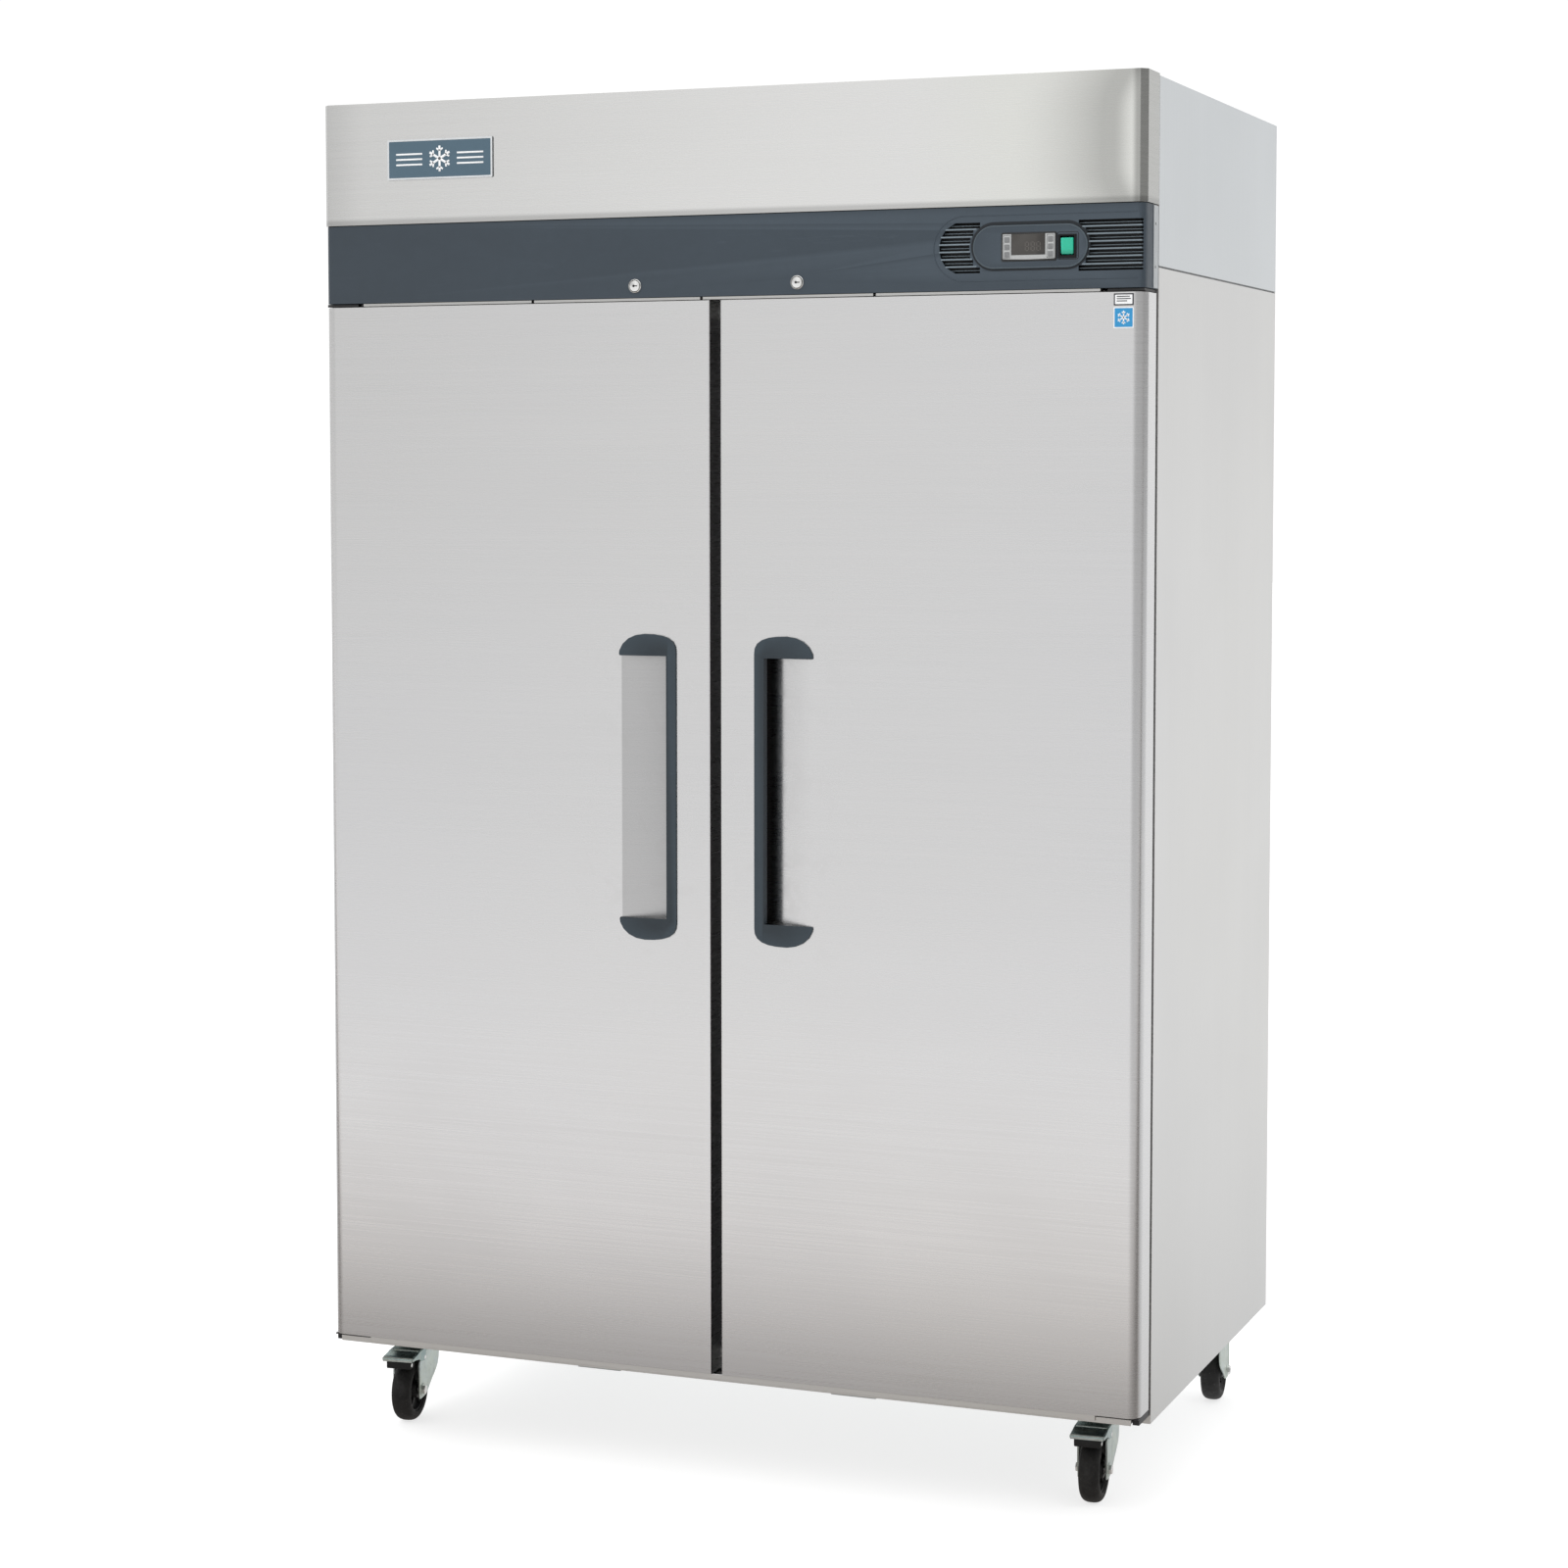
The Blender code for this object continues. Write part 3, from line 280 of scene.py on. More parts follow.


# the door, hood and side steels take painted shade from the functions above
STEEL_DOOR = steel("stainless_door", (0.616, 0.617, 0.626), (1.3, 1.3, 380.0), 0.215, smudges_and_painted_shade=smudges_and_pocket_shade)
STEEL_HOOD = steel("stainless_hood", (0.722, 0.723, 0.722), (1.3, 1.3, 420.0), 0.20, smudges_and_painted_shade=hood_painted_shade, anisotropic=0.3)
STEEL_SIDE = steel("stainless_side", (0.735, 0.737, 0.737), (420.0, 420.0, 1.3), 0.30, 0.022, tangent=(0, 1, 0), smudges_and_painted_shade=painted_seam_and_side_shade, anisotropic=0.2)
STEEL_BACK = steel("galvanised_back", (0.52, 0.535, 0.545), (300.0, 300.0, 2.0), 0.42, 0.02, tangent=(1, 0, 0), anisotropic=0.2)
STEEL_IN = steel("stainless_liner", (0.60, 0.605, 0.61), (1.6, 1.6, 300.0), 0.34, 0.022, anisotropic=0.4)
STEEL_STRIP = steel("stainless_strip", (0.70, 0.70, 0.69), (1.3, 1.3, 380.0), 0.30, anisotropic=0.2)


def zinc(name="zinc_plate", colour=(0.53, 0.60, 0.595), rough=0.30):
    m = Mat(name, colour, 1.0, rough)
    m.vary(m.noise(55, 4, 0.6), 0.10).vary(m.noise(600, 2, 0.6), 0.05)
    m.blend(m.noise(28, 3, 0.6, 0.8, shift=(2, 7, 1)), (0.52, 0.56, 0.47), 0.7)
    m.blend(m.remap(m.noise(90, 4, 0.7, shift=(1, 3, 9)), 0.62, 0.95), (0.34, 0.38, 0.40), 0.6)
    m.scuff(m.noise(70, 4, 0.6), 0.16).relief(m.noise(420, 3, 0.6), 0.00002)
    return m.done(0.4)


def galvanised():
    m = Mat("galvanised_sheet", (0.50, 0.53, 0.53), 1.0, 0.42)
    spangle = m.cell_value(120)
    m.vary(spangle, 0.10).vary(m.noise(9, 4, 0.6), 0.08).vary(m.noise(500, 2, 0.5), 0.03)
    m.scuff(spangle, 0.10).scuff(m.noise(30, 3, 0.6), 0.08)
    m.blend(m.remap(m.noise(14, 5, 0.7, 0.5, shift=(5, 1, 2)), 0.6, 1.0), (0.40, 0.41, 0.40), 0.5)
    m.relief(m.noise(300, 2, 0.6), 0.00001)
    return m.done(0.4)


def foam():
    m = Mat("insulation_foam", (0.78, 0.66, 0.36), 0.0, 0.9)
    m.vary(m.noise(400, 3, 0.6), 0.10).vary(m.noise(18, 4, 0.6), 0.08)
    m.relief(m.cells(900), -0.0004)
    return m.done(0.6)


def slate(name, colour, rough=0.40, specular=0.42, left_shade=False, edge=None):
    """Moulded plastic with a fine satin grain, faint flow marks, sharp edges in a lighter tone or the given edge
    colour, and optionally painted shade towards the left end.
    """
    m = Mat(name, colour, 0.0, rough, Specular_IOR_Level=specular)
    m.vary(m.noise(900, 2, 0.6), 0.07).vary(m.noise((5, 5, 16), 4, 0.6, 0.5), 0.045).vary(m.noise(60, 3, 0.6), 0.025)
    m.blend(m.remap(m.noise((9, 9, 60), 5, 0.7, 0.8, shift=(3, 3, 1)), 0.72, 1.0), tuple(c * 1.35 + 0.01 for c in colour), 0.35)
    m.blend(m.edges(0.515, 0.60), edge or tuple(c * 1.5 + 0.012 for c in colour), 0.55)
    # painted shade: darker towards the left end
    if left_shade:
        m.shade(m.remap(m.axis("X"), 0.1, -0.64), 0.80)
    m.scuff(m.noise(40, 4, 0.6), 0.10).scuff(m.noise(1300, 2, 0.5), 0.08)
    m.relief(m.noise(1500, 2, 0.6), 0.000012)
    return m.done(0.5)


def plain_plastic(name, colour, rough, grain=1100, spread=0.06, **sockets):
    m = Mat(name, colour, 0.0, rough, **sockets)
    m.vary(m.noise(grain, 2, 0.6), spread).vary(m.noise(35, 3, 0.6), spread * 0.6)
    m.blend(m.edges(0.52, 0.62), tuple(min(1, c * 1.3 + 0.01) for c in colour), 0.4)
    m.scuff(m.noise(50, 3, 0.6), 0.10)
    m.relief(m.noise(grain, 2, 0.6), 0.00001)
    return m.done(0.5)


def rubber(name, colour, rough, dust=0.35):
    m = Mat(name, colour, 0.0, rough)
    m.vary(m.noise(500, 3, 0.6), 0.12)
    m.blend(m.remap(m.noise(45, 5, 0.65, 0.6), 0.45, 1.0), tuple(c * 2.2 + 0.015 for c in colour), dust)
    m.scuff(m.noise(60, 4, 0.6), 0.15).relief(m.noise(900, 3, 0.6), 0.00003)
    return m.done(0.6)


def tyre():
    m = Mat("tyre_rubber", (0.009, 0.0088, 0.0086), 0.0, 0.52, Specular_IOR_Level=0.4)
    m.vary(m.noise(420, 4, 0.65), 0.20)
    m.blend(m.remap(m.noise(38, 6, 0.7, 0.9), 0.48, 0.95), (0.050, 0.048, 0.045), 0.35)
    m.blend(m.remap(m.noise(260, 3, 0.7, shift=(1, 5, 8)), 0.78, 1.0), (0.11, 0.105, 0.10), 0.5)
    m.scuff(m.noise(70, 5, 0.7), 0.30).relief(m.noise(700, 4, 0.65), 0.00006).relief(m.noise(90, 3, 0.6), 0.0001)
    return m.done(0.6)


def fins():
    m = Mat("aluminium_fins", (0.70, 0.71, 0.72), 1.0, 0.34)
    m.vary(m.noise(25, 4, 0.6), 0.08).vary(m.noise(700, 2, 0.6), 0.06)
    m.blend(m.remap(m.noise(16, 5, 0.7, 0.4), 0.6, 1.0), (0.50, 0.49, 0.46), 0.5)
    m.scuff(m.noise(60, 3, 0.6), 0.12).relief(m.noise(300, 2, 0.6), 0.00003)
    return m.done(0.5)


def enamel():
    m = Mat("black_enamel", (0.014, 0.014, 0.015), 0.0, 0.28, Coat_Weight=0.3, Coat_Roughness=0.12)
    m.vary(m.noise(200, 3, 0.6), 0.15)
    m.blend(m.remap(m.noise(30, 5, 0.7, 0.5), 0.58, 1.0), (0.060, 0.058, 0.054), 0.4)
    m.blend(m.edges(0.53, 0.62), (0.10, 0.10, 0.10), 0.5)
    m.scuff(m.noise(40, 4, 0.6), 0.22).relief(m.noise(260, 3, 0.5), 0.00005)
    return m.done(0.5)


def chrome(name="chromed_metal", colour=(0.80, 0.80, 0.79), rough=0.16):
    m = Mat(name, colour, 1.0, rough)
    m.vary(m.noise(300, 3, 0.6), 0.05).vary(m.noise(40, 3, 0.6), 0.04)
    m.scuff(m.noise(150, 4, 0.6), 0.12).relief(m.noise(800, 2, 0.6), 0.000008)
    return m.done(0.5)


def copper():
    m = Mat("copper_tube", (0.86, 0.46, 0.30), 1.0, 0.30)
    m.vary(m.noise(60, 4, 0.6), 0.16)
    m.blend(m.remap(m.noise(22, 5, 0.7, 0.6), 0.5, 1.0), (0.36, 0.20, 0.13), 0.7)
    m.scuff(m.noise(90, 4, 0.6), 0.20).relief(m.noise(400, 2, 0.6), 0.00003)
    return m.done(0.4)


def wire_coat():
    m = Mat("coated_wire", (0.58, 0.59, 0.60), 0.0, 0.34, Coat_Weight=0.25, Coat_Roughness=0.2)
    m.vary(m.noise(160, 3, 0.6), 0.06)
    m.blend(m.remap(m.noise(26, 4, 0.7), 0.7, 1.0), (0.40, 0.41, 0.42), 0.5)
    m.scuff(m.noise(80, 3, 0.6), 0.12).relief(m.noise(500, 2, 0.6), 0.00002)
    return m.done(0.5)


def rocker_green():
    m = Mat("green_rocker", (0.0, 0.46, 0.285), 0.0, 0.26, Coat_Weight=0.5, Coat_Roughness=0.15)
    m.vary(m.noise(500, 2, 0.6), 0.06)
    # painted highlight: lighter green towards the left edge
    m.blend(m.band("X", 0.5360, 0.5335), (0.03, 0.60, 0.42), 0.7)
    # painted shade: darker green on the lower part
    m.blend(m.band("Z", 1.8555, 1.8500), (0.0, 0.24, 0.15), 0.6)
    m.scuff(m.noise(200, 3, 0.6), 0.10).relief(m.noise(900, 2, 0.6), 0.00002)
    return m.done(0.5)


def screen():
    """A dark display window with a fine inner texture, browner and lighter at its left and lighter at its top: a
    painted reflection.
    """
    m = Mat("display_window", (0.014, 0.012, 0.011), 0.0, 0.16, Coat_Weight=0.25, Coat_Roughness=0.05)
    # painted reflection: lighter and browner towards the left, lighter towards the top
    m.blend(m.band("X", 0.5030, 0.4930), (0.042, 0.038, 0.034), 0.9)
    m.blend(m.band("Z", 1.8480, 1.8545), (0.060, 0.054, 0.048), 0.35)
    m.vary(m.noise(1500, 2, 0.6), 0.10)
    m.scuff(m.noise(120, 3, 0.6), 0.12).relief(m.noise(500, 2, 0.6), 0.00001)
    return m.done(0.4)


def paper(name, colour, rough=0.42):
    m = Mat(name, colour, 0.0, rough, Coat_Weight=0.2, Coat_Roughness=0.3)
    m.vary(m.noise(1800, 2, 0.6), 0.03).vary(m.noise(120, 3, 0.6), 0.03)
    m.scuff(m.noise(90, 3, 0.6), 0.12).relief(m.noise(900, 2, 0.5), 0.000008)
    return m.done(0.4)


ZINC, GALV, FOAM = zinc(), galvanised(), foam()
PEDAL = zinc("zinc_pedal", (0.20, 0.30, 0.32), 0.22)
# lighter copy of the zinc: painted highlight on the pedal's bead and lip
PEDAL_LIP_HIGHLIGHT = zinc("zinc_lip_painted_highlight", (0.72, 0.78, 0.78), 0.26)
PLASTIC = slate("slate_plastic", (0.034, 0.048, 0.063), left_shade=True)
# lighter copy of the fascia plastic: painted highlight on the pod's rim
RIM_HIGHLIGHT = slate("rim_painted_highlight", (0.058, 0.078, 0.094), 0.34)
# lighter copy of the fascia plastic: painted highlight on the grille's slats and painted light on its fins
SLAT_PAINTED_LIGHT = slate("slat_painted_light", (0.140, 0.175, 0.200), 0.32)
# the handle's edges painted darker: a painted shade outline
HANDLE = slate("slate_handle", (0.034, 0.051, 0.066), 0.42, edge=(0.006, 0.009, 0.012))
# darker copy of the fascia plastic: painted shade in the moat round the pod
MOAT_SHADE = slate("moat_painted_shade", (0.0075, 0.0105, 0.014), 0.5, 0.3)
FASCIA_END = slate("slate_side", (0.36, 0.38, 0.39), 0.45)
BLACK = plain_plastic("black_plastic", (0.010, 0.010, 0.011), 0.42)
MATT_BLACK = plain_plastic("matt_black", (0.006, 0.006, 0.0065), 0.75, spread=0.1)
MULLION = plain_plastic("mullion_cover", (0.16, 0.16, 0.165), 0.50)
GLOSS_BLACK = plain_plastic("gloss_black", (0.005, 0.005, 0.006), 0.24, Specular_IOR_Level=0.22)
GREY = plain_plastic("bezel_grey", (0.42, 0.43, 0.43), 0.36)
KEYS = rubber("key_rubber", (0.20, 0.205, 0.21), 0.55, 0.1)
RUBBER = rubber("gasket_rubber", (0.018, 0.018, 0.019), 0.60, 0.15)
PAD = rubber("brake_pad", (0.008, 0.008, 0.0085), 0.60, 0.2)
WHITE = plain_plastic("white_plastic", (0.74, 0.75, 0.75), 0.38, spread=0.02)
TYRE, ALU, PAINT, CHROME, COPPER, WIRE = tyre(), fins(), enamel(), chrome(), copper(), wire_coat()
ALLOY = chrome("cast_alloy", (0.62, 0.62, 0.62), 0.34)
BRIGHT = chrome("bright_border", (0.78, 0.80, 0.82), 0.22)
GREEN, SCREEN = rocker_green(), screen()
LABEL_WHITE = paper("label_white", (0.86, 0.87, 0.88))
LABEL_BLUE = paper("label_blue", (0.020, 0.270, 0.560))
INK = paper("label_ink", (0.030, 0.032, 0.040), 0.5)
BADGE = slate("badge_enamel", (0.050, 0.090, 0.122), 0.30)


# ================================================================ meshes
def merge(bm, other):
    """Adds another bmesh's geometry and frees it."""
    mesh = bpy.data.meshes.new("part")
    other.to_mesh(mesh)
    other.free()
    bm.from_mesh(mesh)
    bpy.data.meshes.remove(mesh)
    return bm


def box_bm(lo, hi, r=0.0, seg=2, chosen=None):
    a, b = Vector(map(min, lo, hi)), Vector(map(max, lo, hi))
    bm = bmesh.new()
    bmesh.ops.create_cube(bm, size=1.0)
    bmesh.ops.scale(bm, vec=b - a, verts=bm.verts[:])
    bmesh.ops.translate(bm, vec=(a + b) / 2, verts=bm.verts[:])
    if r:
        edges = [e for e in bm.edges if chosen is None or chosen(e.verts[0].co, e.verts[1].co)]
        bmesh.ops.bevel(bm, geom=edges, offset=r, segments=seg, profile=0.5, affect="EDGES", clamp_overlap=True)
    return bm


def lathe_bm(profile, origin, axis, seg=32, closed=False):
    """Turns (radius, along) points about an axis through origin. A radius of 0 closes the end."""
    axis = Vector(axis).normalized()
    u = axis.orthogonal().normalized()
    v = axis.cross(u)
    bm = bmesh.new()
    rings = []
    for r, h in profile:
        centre = Vector(origin) + axis * h
        if r < 1e-7:
            rings.append([bm.verts.new(centre)])
        else:
            rings.append(
                [
                    bm.verts.new(centre + (u * math.cos(2 * math.pi * i / seg) + v * math.sin(2 * math.pi * i / seg)) * r)
                    for i in range(seg)
                ]
            )
    pairs = list(zip(rings, rings[1:]))
    if closed:
        pairs.append((rings[-1], rings[0]))
    for a, b in pairs:
        for i in range(seg):
            j = (i + 1) % seg
            face = [a[i % len(a)], a[j % len(a)], b[j % len(b)], b[i % len(b)]]
            face = list(dict.fromkeys(face))
            if len(face) > 2:
                bm.faces.new(face)
    bmesh.ops.recalc_face_normals(bm, faces=bm.faces[:])
    return bm


def cyl_bm(p0, p1, r, seg=24, edge=0.0, r1=None):
    """A solid cylinder or cone with an optional rounded rim."""
    p0, p1 = Vector(p0), Vector(p1)
    length = (p1 - p0).length
    r1 = r if r1 is None else r1
    profile = [(0, 0)]
    if edge:
        profile += [(r - edge, 0), (r - edge * 0.3, edge * 0.3), (r, edge), (r1, length - edge), (r1 - edge * 0.3, length - edge * 0.3), (r1 - edge, length)]
    else:
        profile += [(r, 0), (r1, length)]
    profile += [(0, length)]
    return lathe_bm(profile, p0, p1 - p0, seg)


def ring_bm(p0, p1, r_out, r_in, seg=32, edge=0.0):
    p0, p1 = Vector(p0), Vector(p1)
    length = (p1 - p0).length
    e = edge
    profile = [(r_in + e, 0), (r_out - e, 0), (r_out, e), (r_out, length - e), (r_out - e, length), (r_in + e, length), (r_in, length - e), (r_in, e)]
    if not e:
        profile = [(r_in, 0), (r_out, 0), (r_out, length), (r_in, length)]
    return lathe_bm(profile, p0, p1 - p0, seg, closed=True)


def smooth_path(points, per=6):
    """A Catmull-Rom curve through the points."""
    pts = [Vector(p) for p in points]
    pts = [pts[0] * 2 - pts[1]] + pts + [pts[-1] * 2 - pts[-2]]
    out = []
    for i in range(1, len(pts) - 2):
        p0, p1, p2, p3 = pts[i - 1 : i + 3]
        for k in range(per):
            t = k / per
            out.append(
                0.5 * ((2 * p1) + (p2 - p0) * t + (2 * p0 - 5 * p1 + 4 * p2 - p3) * t * t + (3 * p1 - p0 - 3 * p2 + p3) * t**3)
            )
    out.append(pts[-2])
    return out


def tube_bm(points, radius, sides=10, closed=False):
    """A round tube swept along the points without twist."""
    pts = [Vector(p) for p in points]
    n = len(pts)
    bm = bmesh.new()
    tangents = []
    for i in range(n):
        if closed:
            t = pts[(i + 1) % n] - pts[i - 1]
        else:
            t = pts[min(i + 1, n - 1)] - pts[max(i - 1, 0)]
        tangents.append(t.normalized())
    u = tangents[0].orthogonal().normalized()
    rings = []
    for i in range(n):
        if i:
            u = (tangents[i - 1].rotation_difference(tangents[i]) @ u).normalized()
        v = tangents[i].cross(u)
        rings.append(
            [
                bm.verts.new(pts[i] + (u * math.cos(2 * math.pi * k / sides) + v * math.sin(2 * math.pi * k / sides)) * radius)
                for k in range(sides)
            ]
        )
    pairs = list(zip(rings, rings[1:]))
    shift = 0
    if closed:
        last, first = rings[-1], rings[0]
        shift = min(range(sides), key=lambda s: (last[0].co - first[s].co).length)
        pairs.append((last, first[shift:] + first[:shift]))
    for a, b in pairs:
        for k in range(sides):
            bm.faces.new((a[k], a[(k + 1) % sides], b[(k + 1) % sides], b[k]))
    if not closed:
        bm.faces.new(rings[0][::-1])
        bm.faces.new(rings[-1])
    bmesh.ops.recalc_face_normals(bm, faces=bm.faces[:])
    return bm


PLANES = {
    "XY": lambda a, b, h: (a, b, h),
    "XZ": lambda a, b, h: (a, h, b),
    "YZ": lambda a, b, h: (h, a, b),
}


def prism_bm(points, plane, lo, hi, r=0.0, seg=2, both=True):
    """An outline extruded along the plane's normal, with its rims rounded by r."""
    put = PLANES[plane]
    bm = bmesh.new()
    a = [bm.verts.new(put(p, q, lo)) for p, q in points]
    b = [bm.verts.new(put(p, q, hi)) for p, q in points]
    bm.faces.new(a)
    bm.faces.new(b)
    n = len(points)
    for i in range(n):
        bm.faces.new((a[i], a[(i + 1) % n], b[(i + 1) % n], b[i]))
    bmesh.ops.recalc_face_normals(bm, faces=bm.faces[:])
    if r:
        rims = set(a) | (set(b) if both else set())
        edges = [
            e
            for e in bm.edges
            if e.verts[0] in rims and e.verts[1] in rims and ((e.verts[0] in set(a)) == (e.verts[1] in set(a)))
        ]
        bmesh.ops.bevel(bm, geom=edges, offset=r, segments=seg, profile=0.5, affect="EDGES", clamp_overlap=True)
    return bm


def rounded(x0, z0, x1, z1, r, n=5):
    points = []
    for cx, cz, start in ((x1 - r, z0 + r, -90), (x1 - r, z1 - r, 0), (x0 + r, z1 - r, 90), (x0 + r, z0 + r, 180)):
        for i in range(n + 1):
            a = math.radians(start + 90 * i / n)
            points.append((cx + r * math.cos(a), cz + r * math.sin(a)))
    return points


def place(bm, matrix):
    bmesh.ops.transform(bm, matrix=matrix, verts=bm.verts[:])
    return bm


def joined(*parts):
    bm = bmesh.new()
    for part in parts:
        merge(bm, part)
    return bm


def make(name, bm, mat, body, replaces=(), sharp=32.0, weighted=False):
    """A piece of the object from a bmesh, smooth except across edges sharper than the angle."""
    bmesh.ops.recalc_face_normals(bm, faces=bm.faces[:])
    limit = math.radians(sharp)
    for f in bm.faces:
        f.smooth = True
    for e in bm.edges:
        e.smooth = len(e.link_faces) == 2 and e.calc_face_angle(0.0) < limit
    mesh = bpy.data.meshes.new(name)
    bm.to_mesh(mesh)
    bm.free()
    mesh.materials.append(mat)
    obj = bpy.data.objects.new(name, mesh)
    bpy.context.scene.collection.objects.link(obj)
    if weighted:
        normals = obj.modifiers.new("normals", "WEIGHTED_NORMAL")
        normals.keep_sharp = True
    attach(obj, body)
    if replaces:
        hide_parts(*replaces)
    return obj


def refined(node, mat, name, width=0.0005, segments=2, angle=28.0, cuts=(), extra=None):
    """A finer copy of a CAD node: its flat facets merged, its edges rounded, smooth shaded. It replaces the node."""
    bm = bmesh.new()
    bm.from_mesh(NODES[node].data)
    bmesh.ops.remove_doubles(bm, verts=bm.verts[:], dist=0.000004)
    bmesh.ops.dissolve_degenerate(bm, edges=bm.edges[:], dist=0.000002)
    bmesh.ops.dissolve_limit(bm, angle_limit=math.radians(0.4), verts=bm.verts[:], edges=bm.edges[:], delimit=set())
    bmesh.ops.recalc_face_normals(bm, faces=bm.faces[:])
    for f in bm.faces:
        f.smooth = True
    for e in bm.edges:
        e.smooth = True
    mesh = bpy.data.meshes.new(name)
    bm.to_mesh(mesh)
    bm.free()
    mesh.materials.append(mat)
    obj = bpy.data.objects.new(name, mesh)
    bpy.context.scene.collection.objects.link(obj)
    for tool in cuts:
        boolean = obj.modifiers.new("cut", "BOOLEAN")
        boolean.operation = "DIFFERENCE"
        boolean.object = tool
        boolean.solver = "EXACT"
    if width:
        bevel = obj.modifiers.new("edges", "BEVEL")
        bevel.limit_method = "ANGLE"
        bevel.angle_limit = math.radians(angle)
        bevel.width = width
        bevel.segments = segments
        bevel.use_clamp_overlap = True
        bevel.miter_outer = "MITER_SHARP"
    normals = obj.modifiers.new("normals", "WEIGHTED_NORMAL")
    normals.keep_sharp = True
    normals.weight = 60
    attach(obj, NODE_BODY[node])
    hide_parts(node)
    return obj


def paint(node, mat):
    """Gives a CAD node, which keeps its shape, its finish."""
    data = NODES[node].data
    data.materials.clear()
    data.materials.append(mat)


# ================================================================ cabinet
refined("outer_shell", STEEL_SIDE, "cabinet_skin", 0.0008, 2)
refined("hood_shell", STEEL_SIDE, "hood_side_and_back", 0.0005, 2)
refined("hood_front_panel", STEEL_HOOD, "hood_front", 0.0009, 3)
refined("face_frame", STEEL_STRIP, "front_frame", 0.0004, 1)
refined("inner_liner", STEEL_IN, "liner", 0.0008, 2)
paint("foam_insulation", FOAM)
refined("base_frame", GALV, "base_rails", 0.0005, 2)

# rivets and screws along the back
rivets = bmesh.new()
for x in (-0.62, -0.31, 0.0, 0.31, 0.62):
    for z in (1.812, 1.848, 0.172, 2.088):
        merge(rivets, lathe_bm([(0, 0.0), (0.0012, 0.00002), (0.0030, -0.0006), (0.0034, -0.0010), (0.0034, -0.0016), (0, -0.0016)], (x, 0.4049, z), (0, 1, 0), 14))
make("back_screws", rivets, CHROME, "cabinet", sharp=50)

# folded edge of the front strip, close under the doors
make("front_strip_fold", joined(box_bm((-0.592, -0.3990, 0.1692), (0.592, -0.3970, 0.1771), 0.0004, 1)), STEEL_STRIP, "cabinet")

# dark cover on the centre mullion, seen between the doors
strip = joined(
    prism_bm(rounded(-0.0112, 0.2010, 0.0112, 1.7680, 0.0006, 2), "XZ", -0.3362, -0.33345, 0.0008, 2),
    box_bm((-0.0100, -0.3420, 1.7470), (0.0100, -0.3358, 1.7660), 0.0008),
)
make("mullion_cover", strip, MULLION, "cabinet")


# ================================================================ doors
def gasket(side, s):
    """A magnetic seal: a flat flange on the door, a folded bellows and the magnet's bead, mitred at the corners."""
    x0, x1, z0, z1 = 0.0125, 0.6375, 0.1865, 1.7825
    # across the seal from its outer edge inwards, and its depth in Y
    section = [
        (0.0000, -0.3436), (0.0200, -0.3436), (0.0200, -0.3424), (0.0172, -0.3420), (0.0186, -0.3405), (0.0158, -0.3392),
        (0.0186, -0.3378), (0.0168, -0.3362), (0.0172, -0.3346), (0.0150, -0.3337), (0.0050, -0.3337), (0.0028, -0.3346),
        (0.0032, -0.3362), (0.0014, -0.3378), (0.0042, -0.3392), (0.0014, -0.3405), (0.0028, -0.3420), (0.0000, -0.3424),
    ]
    bm = bmesh.new()
    rings = []
    for cx, cz, dx, dz in ((x0, z0, 1, 1), (x1, z0, -1, 1), (x1, z1, -1, -1), (x0, z1, 1, -1)):
        rings.append([bm.verts.new((s * (cx + dx * u), y, cz + dz * u)) for u, y in section])
    n = len(section)
    for i in range(4):
        a, b = rings[i], rings[(i + 1) % 4]
        for k in range(n):
            bm.faces.new((a[k], a[(k + 1) % n], b[(k + 1) % n], b[k]))
    make(f"seal_{side}", bm, RUBBER, f"door_{side}", [f"door_{side}_gasket"], sharp=50)


def door_looks(side, s):
    body = f"door_{side}"
    refined(f"door_{side}_skin", STEEL_DOOR, f"door_{side}_front", 0.0005, 2)
    paint(f"door_{side}_foam", FOAM)
    refined(f"door_{side}_inner_panel", STEEL_IN, f"door_{side}_back", 0.0006, 2)
    refined(f"door_{side}_handle", HANDLE, f"handle_{side}", 0.0011, 3)
    gasket(side, s)


for side, s in (("left", -1), ("right", 1)):
    door_looks(side, s)
    refined(f"top_hinge_{side}", BLACK, f"hinge_{side}_top", 0.0004, 2)
    refined(f"bottom_hinge_{side}", BLACK, f"hinge_{side}_bottom", 0.0003, 1)
    plunger = joined(
        cyl_bm((s * 0.32, -0.3425, 1.7890), (s * 0.32, -0.3220, 1.7890), 0.0030, 20, 0.0008),
    )
    make(f"switch_plunger_{side}", plunger, WHITE, NODE_BODY[f"door_switch_plunger_{side}"], [f"door_switch_plunger_{side}"])
    collar = ring_bm((s * 0.32, -0.3346, 1.7890), (s * 0.32, -0.3331, 1.7890), 0.0062, 0.0037, 24, 0.0004)
    make(f"switch_collar_{side}", collar, BLACK, "cabinet")

# labels on the right door, generic
labels = joined(
    prism_bm(rounded(0.6106, 1.7738, 0.6396, 1.7908, 0.0006, 2), "XZ", -0.40235, -0.40195),
)
make("label_edge", labels, INK, "door_right")
make("label_white_face", prism_bm(rounded(0.6125, 1.7757, 0.6377, 1.7889, 0.0004, 2), "XZ", -0.40250, -0.40230), LABEL_WHITE, "door_right")
bars = joined(
    *[box_bm((0.6150, -0.40262, z), (x1, -0.40245, z + 0.0014)) for z, x1 in ((1.7858, 0.6340), (1.7826, 0.6352), (1.7794, 0.6300))]
)
make("label_lines", bars, INK, "door_right")
make("label_blue_edge", prism_bm(rounded(0.6106, 1.7420, 0.6396, 1.7714, 0.0006, 2), "XZ", -0.40235, -0.40195), LABEL_WHITE, "door_right")
make("label_blue_face", prism_bm(rounded(0.6119, 1.7434, 0.6383, 1.7700, 0.0004, 2), "XZ", -0.40250, -0.40230), LABEL_BLUE, "door_right")


